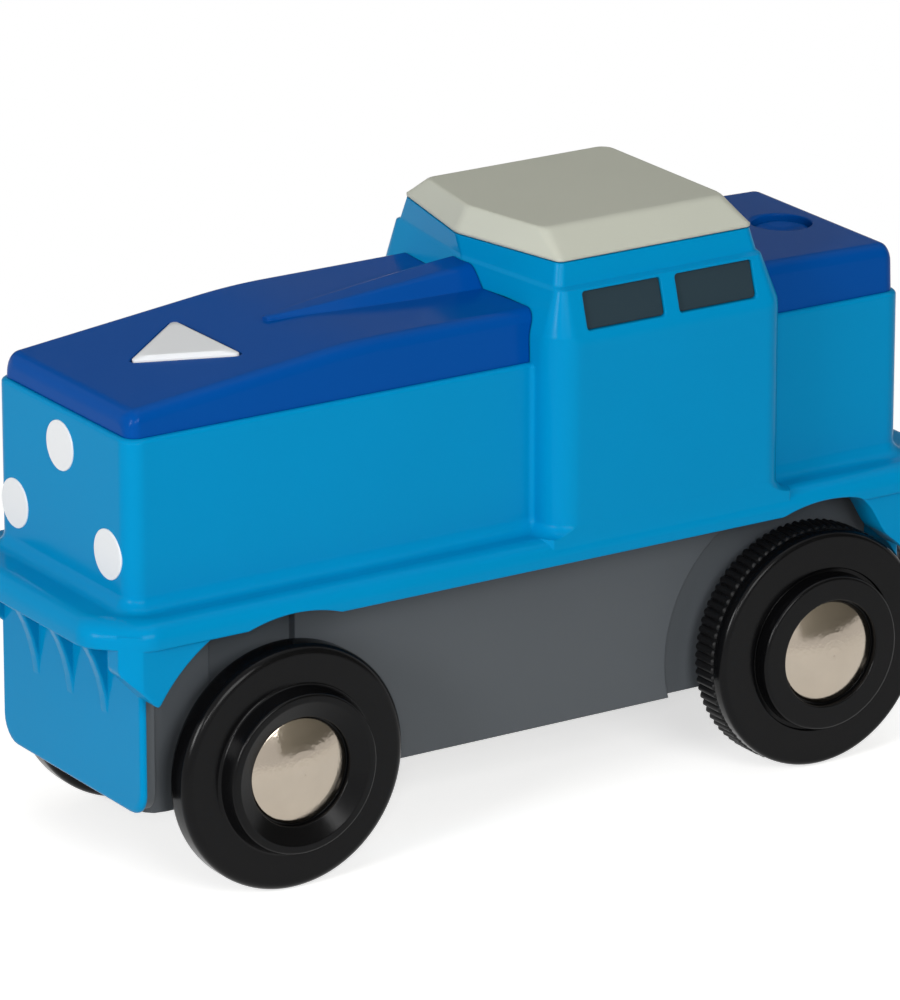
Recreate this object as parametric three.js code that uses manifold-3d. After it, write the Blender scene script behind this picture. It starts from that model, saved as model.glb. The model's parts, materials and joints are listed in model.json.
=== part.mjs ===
// Toy train locomotive for wooden track, driven by one AAA cell.
// Millimetres. +X is the front, +Y the left side, +Z up, and z = 0 is the track under the wheels.
import * as THREE from "three";
import { mergeVertices } from "three/addons/utils/BufferGeometryUtils.js";
import Module from "manifold-3d";

const wasm = await Module();
wasm.setup();

// Clearances between pieces
const SEAM = 0.1; // between moulded pieces that close on each other
const SEAT = 0.2; // round a piece that sits in a pocket
const RUN = 0.05; // radial, round a turning shaft
const PRESS = 0.02; // radial, round a pressed or screwed shank
const MOVE = 0.3; // beside anything that turns or slides
const OVERRUN = 2; // how far a cutting tool passes the face that it cuts
const SAME_POINT = 0.001; // points closer than this are one

// Facets
const ROUND_STEPS = 28; // sides of wheels, axles and gears' bores
const SMALL_STEPS = 12; // sides of pins, screws and stems
const CORNER_STEPS = 3; // steps in a rounded corner

// Walkway: the flat plate all round the body, with its corners cut off
const WALKWAY = {
  frontX: 51.2,
  rearX: -43.6,
  half: 15.85,
  bottomZ: 25.95,
  topZ: 28.5,
  cornerCut: 4.2,
  cornerRadius: 1.6,
  edgeRound: 1.7,
  ledge: 0.9,
};

// Hoods: the two boxes before and behind the cab, up to the seam under the covers
const HOOD = {
  frontX: 46.5,
  rearX: -38.75,
  half: 12.0,
  seamZ: 44.6,
  cornerRadius: 1.9,
  topChamfer: 0.4,
  wall: 1.4,
};

// Hood covers: the sloping nose, the level part and the short rear cover
const COVER = {
  step: 0.5,
  draft: 0.2,
  noseZ: 46.9,
  kinkX: 22.1,
  levelZ: 49.55,
  rearEndZ: 49.15,
  edgeRound: 1.3,
  wall: 1.4,
  tongueDepth: 1.8,
  tongueWall: 1.0,
};

// Ridge along the level part of the front cover
const RIDGE = { tipX: 24.8, tipHalf: 0.5, half: 3.4, crestHalf: 0.9, height: 2.15, shoulder: 0.5 };
const RIDGE_STATION_SHARES = [
  { along: 0.0, half: 0.0, rise: 0.0 },
  { along: 0.24, half: 0.45, rise: 0.24 },
  { along: 0.58, half: 0.78, rise: 0.58 },
  { along: 1.0, half: 1.0, rise: 1.0 },
];

// Cab: straight lower sides, a greenhouse that leans in, and a header under the roof
const CAB = {
  sideStep: 0.15,
  sillZ: 47.1,
  headZ: 51.75,
  eavesZ: 54.1,
  apexX: 3.4,
  cornerX: 3.2,
  headCornerX: 1.85,
  rearX: -22.6,
  cornerRadius: 3.3,
  rearCornerRadius: 2.2,
  headCornerRadius: 1.2,
  upperCornerRadius: 0.8,
  lean: 1.4,
  rearLean: 1.6,
  headerStep: 0.65,
  headerFrontStep: 0.15,
  headerRise: 0.25,
  eavesHalf: 13.15,
  eavesApexX: 4.0,
  eavesCornerX: 1.2,
  eavesRearX: -20.4,
  wall: 1.5,
};

// Roof: a hipped cap with the cab's bowed front
const ROOF = { rise: 2.6, topHalf: 10.0, topApexX: 2.8, topCornerX: 1.0, topRearX: -19.45 };
const ROOF_RIM = { height: 0.3, cornerRadius: 0.5, wall: 1.3, tongueDepth: 1.6, tongueWall: 1.1 };

// Windows: two panes a side, on one insert behind the wall
const WINDOW = {
  frontX: -0.45,
  pillar: 1.55,
  width: 8.7,
  sillZ: 47.95,
  headZ: 51.5,
  cornerRadius: 0.35,
  recess: 0.55,
  backPlate: 1.0,
  backMargin: 0.3,
};

// Skirts: the end plates under the walkway, with three fins and a bracket at each side
const SKIRT = {
  setBack: 5.3,
  wall: 1.4,
  half: 12.65,
  bottomZ: 8.8,
  cornerRadius: 2.3,
  archRadius: 15.1,
};
const FIN = { pitch: 6.2, width: 1.3, reach: 3.0, footZ: 17.0, noseZ: 22.6, noseRound: 0.8 };
const BRACKET = { innerY: 11.9, outerY: 15.45, tipX: 0.2, tipZ: 20.3, noseZ: 23.7, tipRound: 1.2 };

// Coupler at the rear end
const COUPLER = {
  height: 12.65,
  pivotX: -40.0,
  pinRadius: 1.0,
  pinHeadRadius: 1.7,
  pinHead: 0.5,
  earWall: 1.5,
  earHalf: 4.2,
  earReach: 2.3,
  tongueHalf: 1.85,
  tongueWidth: 5.6,
  cupX: -45.6,
  cupRadius: 3.5,
  cupWall: 2.0,
  magnetRadius: 4.1,
  magnetLength: 2.9,
  rivetRadius: 1.0,
  rivetHeadRadius: 2.0,
  rivetHead: 0.3,
  slotHalf: 5.4,
  slotTopZ: 18.0,
};

// Wheels and axles
const AXLE = { frontX: 31.4, behindBay: 7.1, radius: 1.5, half: 15.0 };
const WHEEL = { radius: 11.74, hubY: 10.1, hubRadius: 2.7, edgeRound: 0.9, rimWall: 1.5 };
const FRONT_WHEEL = {
  innerY: 12.5,
  webY: 13.6,
  faceY: 15.7,
  bossRadius: 8.1,
  crestOuter: 7.6,
  crestInner: 6.9,
  crestY: 17.4,
  mouthY: 16.6,
  seatY: 16.0,
};
const REAR_WHEEL = {
  innerY: 10.55,
  webY: 12.6,
  faceY: 15.5,
  discRadius: 11.1,
  discEdge: 0.2,
  bossRadius: 8.05,
  groove: 0.45,
  grooveDepth: 0.35,
  mouthY: 16.9,
  seatY: 16.1,
};
const HUB_CAP = { radius: 5.05, rim: 0.5, dome: 0.75 };
const TYRE = { ribs: 60, ribDepth: 0.45, wall: 1.3, innerY: 10.95, outerY: 14.85 };

// Chassis: the dark tub between the wheels
const CHASSIS = {
  frontGap: 0.3,
  half: 10.6,
  bottomZ: 8.2,
  floor: 1.4,
  wall: 1.2,
  wellHalf: 9.6,
  wellWall: 1.0,
  frontWellRearX: 28.3,
  frontWellFrontX: 37.5,
  rearWellRadius: 14.8,
  cornerRadius: 2.0,
};

// Battery bay, cell, contacts and door
const CELL = { radius: 5.25, length: 43.3, nubRadius: 1.9, nub: 1.2, frontX: 28.0 };
const BAY = { clear: 0.35, ceiling: 1.0, endWall: 0.9, partition: 1.2 };
const CONTACT = { thickness: 0.4, half: 3.0, tabHalf: 1.0, tabRise: 2.6, bottomRise: 1.2 };
const CONTACT_SPRING = { radius: 2.3, wire: 0.5, turns: 3, length: 2.3 };
const DOOR = { ledge: 0.6, sideLedge: 1.4, thickness: 1.3, earX: 4.0, earY: 8.0, earRadius: 2.0 };
const DOOR_GRIP = { setBack: 3.2, count: 5, pitch: 1.6, width: 0.7, depth: 0.4, half: 4.0 };
const SCREW = { radius: 0.8, headRadius: 1.55, head: 0.9, slot: 0.45, slotDepth: 0.4, length: 6.0 };
const BOSS_WALL = 1.2;

// Gear train, from the motor pinion down to the rear axle, straight above each other
const GEAR = { module: 0.5, addendumShare: 0.85, dedendumShare: 1.25, wide: 1.8, narrow: 1.4 };
const TEETH = { pinion: 8, idlerLarge: 22, idlerSmall: 10, axle: 22 };
const TOOTH_HALF_SHARES = { root: 0.31, tip: 0.11 };
const GEAR_PLATE = { innerY: 3.7, thickness: 1.0, half: 5.6, topMargin: 6.2 };
const GEAR_GAP = 0.2; // between gears side by side on the shafts
const IDLER_PIN = 0.75; // radius
const MOTOR = {
  width: 12.0,
  height: 10.0,
  rearY: -8.2,
  cornerRadius: 2.0,
  capLength: 1.6,
  capInset: 0.4,
  shaftRadius: 0.5,
  shaftRearY: -2.0,
  tabX: 3.0,
};
const MOTOR_CLIP = { wall: 1.0, length: 7.0, half: 4.0 };
const BUSH = { wall: 0.9, proud: 0.3 };
const SUMP = { reach: 7.6, wall: 0.8, plateHalf: 8.1 };
const SUMP_SCREW = { y: -6.2, fromWall: 2.5 };

// Buttons, switches and boards: one stack under each cover, measured down from its outer face
const BUTTON = {
  travel: 0.6,
  gap: 0.25,
  flange: 0.8,
  flangeReach: 0.9,
  noseX: 35.0,
  noseProud: 0.75,
  noseBevel: 0.45,
  noseLength: 8.3,
  noseHalf: 6.1,
  noseCornerRadius: 0.7,
  roundX: -33.0,
  roundRadius: 2.65,
  roundSunk: 0.6,
  roundDish: 0.5,
};
const SWITCH = { half: 2.6, height: 3.5, plungerRadius: 1.7, plungerRise: 0.8, plungerDepth: 1.5 };
const BOARD = { thickness: 1.2, half: 7.2, postX: 2.2, postY: 2.0 };
const FRONT_BOARD = { x0: -9.5, x1: 8.2 };
const REAR_BOARD = { x0: -3.6, x1: 6.8 };
const CHIP = { length: 5.0, half: 2.0, height: 1.2 };

// Body screw up through the chassis's front post
const BODY_SCREW = { x: 41.0, postRadius: 2.6, shoulderZ: 19.4, length: 9.8 };
const SHELL_BOSS = { radius: 2.2, height: 9.0, ribHalf: 0.6 };

// Hooks at the rear of the chassis that catch in the shell's rear wall
const HOOK = { innerY: 4.6, outerY: 8.2, wall: 0.9, rise: 3.2, barb: 0.8, barbHeight: 1.2 };

// Wires, each a tube through points chosen by hand
const WIRE = { radius: 0.55, sides: 6, stepsPerPoint: 3, lane: 1.8, lift: 1.8, drop: 6.5 };

// Heights and places that follow from the sizes above
const axleZ = WHEEL.radius;
const idlerZ = axleZ + (GEAR.module * (TEETH.axle + TEETH.idlerSmall)) / 2;
const motorZ = idlerZ + (GEAR.module * (TEETH.idlerLarge + TEETH.pinion)) / 2;
const frontSkirtX = WALKWAY.frontX - SKIRT.setBack;
const rearSkirtX = WALKWAY.rearX + SKIRT.setBack;
const chassisFrontX = frontSkirtX - SKIRT.wall - CHASSIS.frontGap;
const chassisRearX = rearSkirtX + SKIRT.wall + CHASSIS.frontGap;
const chassisTopZ = WALKWAY.bottomZ - SEAM;
const floorZ = CHASSIS.bottomZ + CHASSIS.floor;
const bayHalf = CELL.radius + BAY.clear;
const cellZ = floorZ + BAY.clear + CELL.radius;
const bayTopZ = cellZ + CELL.radius + BAY.clear;
const cellRearX = CELL.frontX - CELL.nub - CELL.length;
const bayFrontX = CELL.frontX + CONTACT.thickness;
const bayRearX = cellRearX - CONTACT_SPRING.length - CONTACT.thickness;
const gearBayFrontX = bayRearX - BAY.partition;
const rearAxleX = gearBayFrontX - AXLE.behindBay;
const wellInnerHalf = CHASSIS.wellHalf - CHASSIS.wellWall;
const plateOuterY = GEAR_PLATE.innerY + GEAR_PLATE.thickness;
const wideY = plateOuterY + GEAR_GAP;
const narrowY = wideY + GEAR.wide + GEAR_GAP;
const noseSlope = (COVER.levelZ - COVER.noseZ) / (HOOD.frontX - COVER.kinkX);
const noseTilt = Math.atan(noseSlope);
const hoodInnerHalf = HOOD.half - HOOD.wall;
const cabHalf = WALKWAY.half - CAB.sideStep;
const headHalf = cabHalf - CAB.lean;
const cabInnerHalf = CAB.eavesHalf - CAB.wall;
const cabFrontX = CAB.eavesCornerX - CAB.wall;
const cabRearX = CAB.eavesRearX + CAB.wall;
const roofTopZ = CAB.eavesZ + ROOF.rise;
const windowRearX = WINDOW.frontX - 2 * WINDOW.width - WINDOW.pillar;
const idlerPinEnd = CHASSIS.wellHalf - CHASSIS.wellWall / 2;

// Colours and finishes
const PAINTS = {
  lightBlue: { color: 0x0a84bd, roughness: 0.3, metalness: 0 },
  darkBlue: { color: 0x0b3f86, roughness: 0.3, metalness: 0 },
  roofGrey: { color: 0xb4b3a6, roughness: 0.35, metalness: 0 },
  windowGrey: { color: 0x2e383d, roughness: 0.4, metalness: 0 },
  chassisGrey: { color: 0x4a4e52, roughness: 0.5, metalness: 0 },
  wheelBlack: { color: 0x1b1b1d, roughness: 0.25, metalness: 0 },
  rubber: { color: 0x161617, roughness: 0.8, metalness: 0 },
  nickel: { color: 0xc2b6a4, roughness: 0.2, metalness: 1 },
  steel: { color: 0xb0b2b5, roughness: 0.3, metalness: 1 },
  brass: { color: 0xc9a24a, roughness: 0.35, metalness: 1 },
  buttonWhite: { color: 0xd9d8d0, roughness: 0.35, metalness: 0 },
  nylon: { color: 0xe8e6da, roughness: 0.5, metalness: 0 },
  boardGreen: { color: 0x1f6b3a, roughness: 0.5, metalness: 0 },
  switchBlack: { color: 0x202124, roughness: 0.5, metalness: 0 },
  cellGold: { color: 0xb98a3a, roughness: 0.35, metalness: 0.4 },
  wireRed: { color: 0xb3202a, roughness: 0.5, metalness: 0 },
  wireBlack: { color: 0x1c1c1e, roughness: 0.5, metalness: 0 },
  wireYellow: { color: 0xd8b62a, roughness: 0.5, metalness: 0 },
};
const MATERIALS = Object.fromEntries(
  Object.entries(PAINTS).map(([name, look]) => [name, new THREE.MeshStandardMaterial(look)]),
);

// A closed geometry as a solid that can be joined and cut
function solidOf(shape) {
  if (!shape.isBufferGeometry) return shape;
  const bare = shape.clone();
  bare.deleteAttribute("normal");
  bare.deleteAttribute("uv");
  const merged = mergeVertices(bare);
  const triVerts = new Uint32Array(merged.index.array);
  const vertProperties = merged.attributes.position.array;
  return new wasm.Manifold(new wasm.Mesh({ numProp: 3, vertProperties, triVerts }));
}

function geometryOf(shape) {
  const mesh = solidOf(shape).getMesh();
  const geometry = new THREE.BufferGeometry();
  geometry.setAttribute("position", new THREE.BufferAttribute(mesh.vertProperties, 3));
  geometry.setIndex(new THREE.BufferAttribute(mesh.triVerts, 1));
  geometry.computeVertexNormals();
  return geometry;
}

const join = (...shapes) => shapes.map(solidOf).reduce((a, b) => a.add(b));
const cut = (shape, ...tools) => tools.map(solidOf).reduce((a, b) => a.subtract(b), solidOf(shape));

// A box between two corners
function box(x0, x1, y0, y1, z0, z1) {
  const geometry = new THREE.BoxGeometry(x1 - x0, y1 - y0, z1 - z0);
  return geometry.translate((x0 + x1) / 2, (y0 + y1) / 2, (z0 + z1) / 2);
}

// Round bars along each axis, from one end to the other
function rodX(x0, x1, y, z, radius, steps = SMALL_STEPS) {
  const geometry = new THREE.CylinderGeometry(radius, radius, x1 - x0, steps);
  return geometry.rotateZ(Math.PI / 2).translate((x0 + x1) / 2, y, z);
}

function rodY(x, y0, y1, z, radius, steps = SMALL_STEPS) {
  const geometry = new THREE.CylinderGeometry(radius, radius, y1 - y0, steps);
  return geometry.translate(x, (y0 + y1) / 2, z);
}

function rodZ(x, y, z0, z1, radius, steps = SMALL_STEPS) {
  const geometry = new THREE.CylinderGeometry(radius, radius, z1 - z0, steps);
  return geometry.rotateX(Math.PI / 2).translate(x, y, (z0 + z1) / 2);
}

// A flat outline whose corners may each have a radius: [across, up, radius]
function outline(corners) {
  const points = corners.map(([x, y]) => new THREE.Vector2(x, y));
  const shape = new THREE.Shape();
  corners.forEach(([, , radius = 0], i) => {
    const here = points[i];
    const before = points[(i + points.length - 1) % points.length].clone().sub(here);
    const after = points[(i + 1) % points.length].clone().sub(here);
    const reach = Math.min(radius, before.length() / 2, after.length() / 2);
    const start = here.clone().add(before.setLength(reach));
    const end = here.clone().add(after.setLength(reach));
    if (i === 0) shape.moveTo(start.x, start.y);
    else shape.lineTo(start.x, start.y);
    if (reach > 0) shape.quadraticCurveTo(here.x, here.y, end.x, end.y);
  });
  shape.closePath();
  return shape;
}

// The points of an outline, once round
function ringOf(corners) {
  const points = outline(corners).getPoints(CORNER_STEPS);
  if (points[0].distanceTo(points[points.length - 1]) < SAME_POINT) points.pop();
  return points;
}

// A closed skin through rings that all have the same number of points
function loft(rings) {
  const count = rings[0].length;
  const caps = THREE.ShapeUtils.triangulateShape(rings[0].map((p) => p.flat), []);
  const index = caps.map(([a, b, c]) => [a, c, b]).flat();
  rings.slice(1).forEach((ring, level) => {
    for (let i = 0; i < count; i++) {
      const a = level * count + i;
      const b = level * count + ((i + 1) % count);
      index.push(a, b, b + count, a, b + count, a + count);
    }
  });
  const last = (rings.length - 1) * count;
  const lastCaps = THREE.ShapeUtils.triangulateShape(rings[rings.length - 1].map((p) => p.flat), []);
  index.push(...lastCaps.flat().map((i) => i + last));
  const geometry = new THREE.BufferGeometry();
  const positions = rings.flat().flatMap((p) => [p.x, p.y, p.z]);
  geometry.setAttribute("position", new THREE.Float32BufferAttribute(positions, 3));
  geometry.setIndex(index);
  return geometry;
}

// A ring lying level at a height, and a ring standing across the loco at a place along it
const levelRing = (corners, z) => ringOf(corners).map((p) => ({ x: p.x, y: p.y, z, flat: p }));
const crossRing = (corners, x) => ringOf(corners).map((p) => ({ x, y: p.x, z: p.y, flat: p }));

// Flat outlines pushed along each axis
function extrude(shape, depth) {
  return new THREE.ExtrudeGeometry(shape, { depth, bevelEnabled: false, curveSegments: CORNER_STEPS });
}

function extrudeX(shape, x0, x1) {
  const turn = new THREE.Matrix4();
  turn.makeBasis(new THREE.Vector3(0, 1, 0), new THREE.Vector3(0, 0, 1), new THREE.Vector3(1, 0, 0));
  return extrude(shape, x1 - x0).applyMatrix4(turn).translate(x0, 0, 0);
}

function extrudeY(shape, y0, y1) {
  return extrude(shape, y1 - y0).rotateX(Math.PI / 2).translate(0, y1, 0);
}

const extrudeZ = (shape, z0, z1) => extrude(shape, z1 - z0).translate(0, 0, z0);

// A turned piece round the Y axis, from a closed profile of [radius, y]
function turned(profile, steps = ROUND_STEPS) {
  return new THREE.LatheGeometry(profile.map(([r, y]) => new THREE.Vector2(r, y)), steps);
}

// A rounded rectangle about the centre line, as corners
function bar(x0, x1, half, radius = 0) {
  return [
    [x0, -half, radius],
    [x1, -half, radius],
    [x1, half, radius],
    [x0, half, radius],
  ];
}

// The same four corners standing up, for an outline across the loco
const upright = (half, z0, z1, low, high) => [
  [-half, z0, low],
  [half, z0, low],
  [half, z1, high],
  [-half, z1, high],
];

// Insets of a rounded edge: how far in, and how far back from the end face
function edgeSteps(radius) {
  return Array.from({ length: CORNER_STEPS + 1 }, (_, i) => {
    const angle = (i / CORNER_STEPS) * (Math.PI / 2);
    return { inset: radius * (1 - Math.sin(angle)), back: radius * (1 - Math.cos(angle)) };
  });
}

// The walkway plate's outline, drawn in by an inset
function walkwayCorners(inset) {
  const x0 = WALKWAY.rearX + inset;
  const x1 = WALKWAY.frontX - inset;
  const half = WALKWAY.half - inset;
  const c = WALKWAY.cornerCut;
  const r = WALKWAY.cornerRadius;
  return [
    [x0, -half + c, r],
    [x0 + c, -half, r],
    [x1 - c, -half, r],
    [x1, -half + c, r],
    [x1, half - c, r],
    [x1 - c, half, r],
    [x0 + c, half, r],
    [x0, half - c, r],
  ];
}

function walkwayPlate() {
  const rings = edgeSteps(WALKWAY.edgeRound)
    .reverse()
    .map(({ inset, back }) =>
      levelRing(walkwayCorners(inset), WALKWAY.topZ - WALKWAY.edgeRound + back),
    );
  return loft([levelRing(walkwayCorners(0), WALKWAY.bottomZ), ...rings]);
}

// A hood box with a small chamfer at the seam
function hoodBox(x0, x1) {
  const corners = (inset) => bar(x0 + inset, x1 - inset, HOOD.half - inset, HOOD.cornerRadius);
  return loft([
    levelRing(corners(0), WALKWAY.bottomZ),
    levelRing(corners(0), HOOD.seamZ - HOOD.topChamfer),
    levelRing(corners(HOOD.topChamfer), HOOD.seamZ),
  ]);
}

// The cab's outline at a level: a bowed front, straight sides and a flat rear
function cabCorners(level, grow = 0) {
  const { apexX, cornerX, half, rearX, radius, rearRadius = radius } = level;
  return [
    [rearX - grow, -half - grow, rearRadius],
    [cornerX + grow, -half - grow, radius],
    [apexX + grow, 0, 0],
    [cornerX + grow, half + grow, radius],
    [rearX - grow, half + grow, rearRadius],
  ];
}

// Levels of the cab from the walkway up to the eaves
function cabLevels() {
  const lower = {
    apexX: CAB.apexX,
    cornerX: CAB.cornerX,
    half: cabHalf,
    rearX: CAB.rearX,
    radius: CAB.cornerRadius,
  };
  const head = {
    ...lower,
    cornerX: CAB.headCornerX,
    half: headHalf,
    rearX: CAB.rearX + CAB.rearLean,
    radius: CAB.headCornerRadius,
  };
  const header = {
    ...head,
    cornerX: head.cornerX - CAB.headerFrontStep,
    half: headHalf - CAB.headerStep,
    rearX: head.rearX + CAB.headerFrontStep,
    radius: CAB.upperCornerRadius,
  };
  const eaves = {
    apexX: CAB.eavesApexX,
    cornerX: CAB.eavesCornerX,
    half: CAB.eavesHalf,
    rearX: CAB.eavesRearX,
    radius: CAB.upperCornerRadius,
  };
  return [
    { ...lower, rearRadius: CAB.rearCornerRadius, z: WALKWAY.bottomZ },
    { ...lower, rearRadius: CAB.rearCornerRadius, z: CAB.sillZ },
    { ...head, z: CAB.headZ },
    { ...header, z: CAB.headZ + CAB.headerRise },
    { ...eaves, z: CAB.eavesZ },
  ];
}

const cabBlock = (grow = 0) =>
  loft(cabLevels().map((level) => levelRing(cabCorners(level, grow), level.z)));

// One fin from the walkway down to a skirt plate, drawn for the front end
function finOutline(skirtX, way) {
  const noseX = skirtX + way * FIN.reach;
  const rootX = skirtX - (way * SKIRT.wall) / 2;
  const corners = [
    [rootX, WALKWAY.bottomZ + SKIRT.wall],
    [rootX, FIN.footZ],
    [skirtX, FIN.footZ],
    [noseX, FIN.noseZ, FIN.noseRound],
    [noseX, WALKWAY.bottomZ + SKIRT.wall],
  ];
  return outline(way > 0 ? corners : corners.reverse());
}

// The bracket at each side of a skirt, which the wheel arch trims to its curve
function bracketOutline(skirtX, way) {
  const noseX = skirtX + way * FIN.reach;
  const corners = [
    [skirtX - way * SKIRT.archRadius, WALKWAY.bottomZ + SKIRT.wall],
    [skirtX - way * SKIRT.archRadius, BRACKET.tipZ, 0],
    [skirtX - way * BRACKET.tipX, BRACKET.tipZ, BRACKET.tipRound],
    [noseX, BRACKET.noseZ, FIN.noseRound],
    [noseX, WALKWAY.bottomZ + SKIRT.wall],
  ];
  return outline(way > 0 ? corners : corners.reverse());
}

// An end skirt with its fins and brackets: way is 1 at the front and -1 at the rear
function skirt(skirtX, way) {
  const back = skirtX - way * SKIRT.wall;
  const top = WALKWAY.bottomZ + SKIRT.wall;
  const plateOutline = outline(upright(SKIRT.half, SKIRT.bottomZ, top, SKIRT.cornerRadius, 0));
  const plate = extrudeX(plateOutline, Math.min(skirtX, back), Math.max(skirtX, back));
  const fins = [-1, 0, 1].map((side) => {
    const middle = side * FIN.pitch;
    return extrudeY(finOutline(skirtX, way), middle - FIN.width / 2, middle + FIN.width / 2);
  });
  const underWalkway = solidOf(extrudeZ(outline(walkwayCorners(0)), SKIRT.bottomZ, top));
  const brackets = [-1, 1].map((side) => {
    const ends = [side * BRACKET.innerY, side * BRACKET.outerY].sort((a, b) => a - b);
    return solidOf(extrudeY(bracketOutline(skirtX, way), ...ends)).intersect(underWalkway);
  });
  return join(plate, ...fins, ...brackets);
}

// The arch that clears one axle's wheels, behind the front skirt
function wheelArch(x) {
  const half = WALKWAY.half + OVERRUN;
  const round = rodY(x, -half, half, axleZ, SKIRT.archRadius, 2 * ROUND_STEPS);
  const behind = box(WALKWAY.rearX - OVERRUN, frontSkirtX - SKIRT.wall, -half, half, -OVERRUN, WALKWAY.topZ);
  return solidOf(round).intersect(solidOf(behind));
}

// The opening of one pane: side is 1 on the left and -1 on the right, row 0 at the front
function windowOpening(row, grow, y0, y1) {
  const x1 = WINDOW.frontX - row * (WINDOW.width + WINDOW.pillar) + grow;
  const x0 = WINDOW.frontX - row * (WINDOW.width + WINDOW.pillar) - WINDOW.width - grow;
  const shape = outline([
    [x0, WINDOW.sillZ - grow, WINDOW.cornerRadius],
    [x1, WINDOW.sillZ - grow, WINDOW.cornerRadius],
    [x1, WINDOW.headZ + grow, WINDOW.cornerRadius],
    [x0, WINDOW.headZ + grow, WINDOW.cornerRadius],
  ]);
  return extrudeY(shape, y0, y1);
}

// A straight shape leaned over with the cab's glazed walls, still where it was at their head
function leaned(shape, side) {
  const slope = (side * CAB.lean) / (CAB.headZ - CAB.sillZ);
  const shear = new THREE.Matrix4().makeShear(0, 0, 0, 0, 0, -slope);
  return geometryOf(shape).applyMatrix4(shear).translate(0, slope * CAB.headZ, 0);
}

// The plate that carries one side's panes behind the wall, grown by a margin
function insertPlate(side, grow) {
  const face = headHalf - CAB.wall - SEAM + grow;
  const back = headHalf - CAB.wall - SEAM - WINDOW.backPlate - grow;
  const ends = [side * face, side * back].sort((a, b) => a - b);
  const margin = WINDOW.backMargin + grow;
  const x0 = windowRearX - margin;
  const x1 = WINDOW.frontX + margin;
  return leaned(box(x0, x1, ...ends, WINDOW.sillZ - margin, WINDOW.headZ + margin), side);
}

// The hollow inside the body: two hoods, the cab, the passages between them, and the narrower
// way down through the walkway, which leaves a ledge that rests on the chassis's walls
function bodyHollow() {
  const low = WALKWAY.topZ;
  const high = HOOD.seamZ + OVERRUN;
  const passageTop = HOOD.seamZ - COVER.tongueDepth;
  const wayHalf = CHASSIS.half - WALKWAY.ledge;
  const cabRoom = solidOf(cabBlock(-CAB.wall)).intersect(
    solidOf(box(CAB.rearX, CAB.apexX, -cabHalf, cabHalf, low, CAB.eavesZ)),
  );
  const x0 = HOOD.rearX + HOOD.wall;
  const x1 = HOOD.frontX - HOOD.wall;
  return join(
    box(CAB.apexX + CAB.wall, x1, -hoodInnerHalf, hoodInnerHalf, low, high),
    box(x0, CAB.rearX - CAB.wall, -hoodInnerHalf, hoodInnerHalf, low, high),
    box(x0, x1, -hoodInnerHalf, hoodInnerHalf, low, passageTop),
    box(x0, x1, -wayHalf, wayHalf, WALKWAY.bottomZ - OVERRUN, passageTop),
    cabRoom,
    insertPlate(1, SEAT),
    insertPlate(-1, SEAT),
    box(cabRearX, cabFrontX, -cabInnerHalf, cabInnerHalf, low, CAB.eavesZ + OVERRUN),
  );
}

// The screw boss hanging inside the front hood, tied to its end wall by a rib
function shellBoss() {
  const z0 = WALKWAY.bottomZ;
  const z1 = z0 + SHELL_BOSS.height;
  const wallX = HOOD.frontX - HOOD.wall / 2;
  return join(
    rodZ(BODY_SCREW.x, 0, z0, z1, SHELL_BOSS.radius),
    box(BODY_SCREW.x, wallX, -SHELL_BOSS.ribHalf, SHELL_BOSS.ribHalf, z0, z1),
  );
}

// The barbs of the rear hooks, from the tab's face out to a tip, grown by a margin
function hookBoxes(grow, faceX, tipX) {
  const top = chassisTopZ + HOOK.rise;
  return [-1, 1].map((side) => {
    const ends = [side * HOOK.innerY, side * HOOK.outerY].sort((a, b) => a - b);
    return box(
      tipX,
      faceX + grow,
      ends[0] - grow,
      ends[1] + grow,
      top - HOOK.barbHeight - grow,
      top + grow,
    );
  });
}

function bodyShell() {
  const outer = join(
    walkwayPlate(),
    hoodBox(CAB.cornerX - HOOD.cornerRadius - HOOD.wall, HOOD.frontX),
    hoodBox(HOOD.rearX, CAB.rearX + HOOD.cornerRadius + HOOD.wall),
    cabBlock(),
    skirt(frontSkirtX, 1),
    skirt(rearSkirtX, -1),
  );
  const wallSpan = [cabInnerHalf - OVERRUN, cabHalf + OVERRUN];
  const panes = [0, 1].flatMap((row) => [
    windowOpening(row, 0, wallSpan[0], wallSpan[1]),
    windowOpening(row, 0, -wallSpan[1], -wallSpan[0]),
  ]);
  const couplerSlot = box(
    rearSkirtX - OVERRUN,
    rearSkirtX + SKIRT.wall + OVERRUN,
    -COUPLER.slotHalf,
    COUPLER.slotHalf,
    SKIRT.bottomZ - OVERRUN,
    COUPLER.slotTopZ,
  );
  const hollow = cut(outer, bodyHollow(), wheelArch(AXLE.frontX), wheelArch(rearAxleX), ...panes, couplerSlot);
  const pilotTop = WALKWAY.bottomZ + SHELL_BOSS.height - BOSS_WALL;
  const pilot = rodZ(BODY_SCREW.x, 0, WALKWAY.bottomZ - OVERRUN, pilotTop, SCREW.radius + PRESS);
  const notches = hookBoxes(SEAT, HOOD.rearX + HOOD.wall, HOOD.rearX + HOOD.wall - HOOK.barb);
  return cut(join(hollow, shellBoss()), pilot, ...notches);
}

// Height of the covers' top at a place along the loco
function coverTop(x) {
  if (x > COVER.kinkX) return COVER.levelZ - (x - COVER.kinkX) * noseSlope;
  if (x > CAB.rearX) return COVER.levelZ;
  const along = (CAB.rearX - x) / (CAB.rearX - HOOD.rearX);
  return COVER.levelZ - along * (COVER.levelZ - COVER.rearEndZ);
}

// A cover's section across the loco, drawn in by an inset
function coverCorners(x, inset) {
  const base = HOOD.half - COVER.step - inset;
  const top = base - COVER.draft;
  const z = coverTop(x) - inset;
  return [
    [-base, HOOD.seamZ, 0],
    [base, HOOD.seamZ, 0],
    [top, z, COVER.edgeRound],
    [-top, z, COVER.edgeRound],
  ];
}

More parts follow.
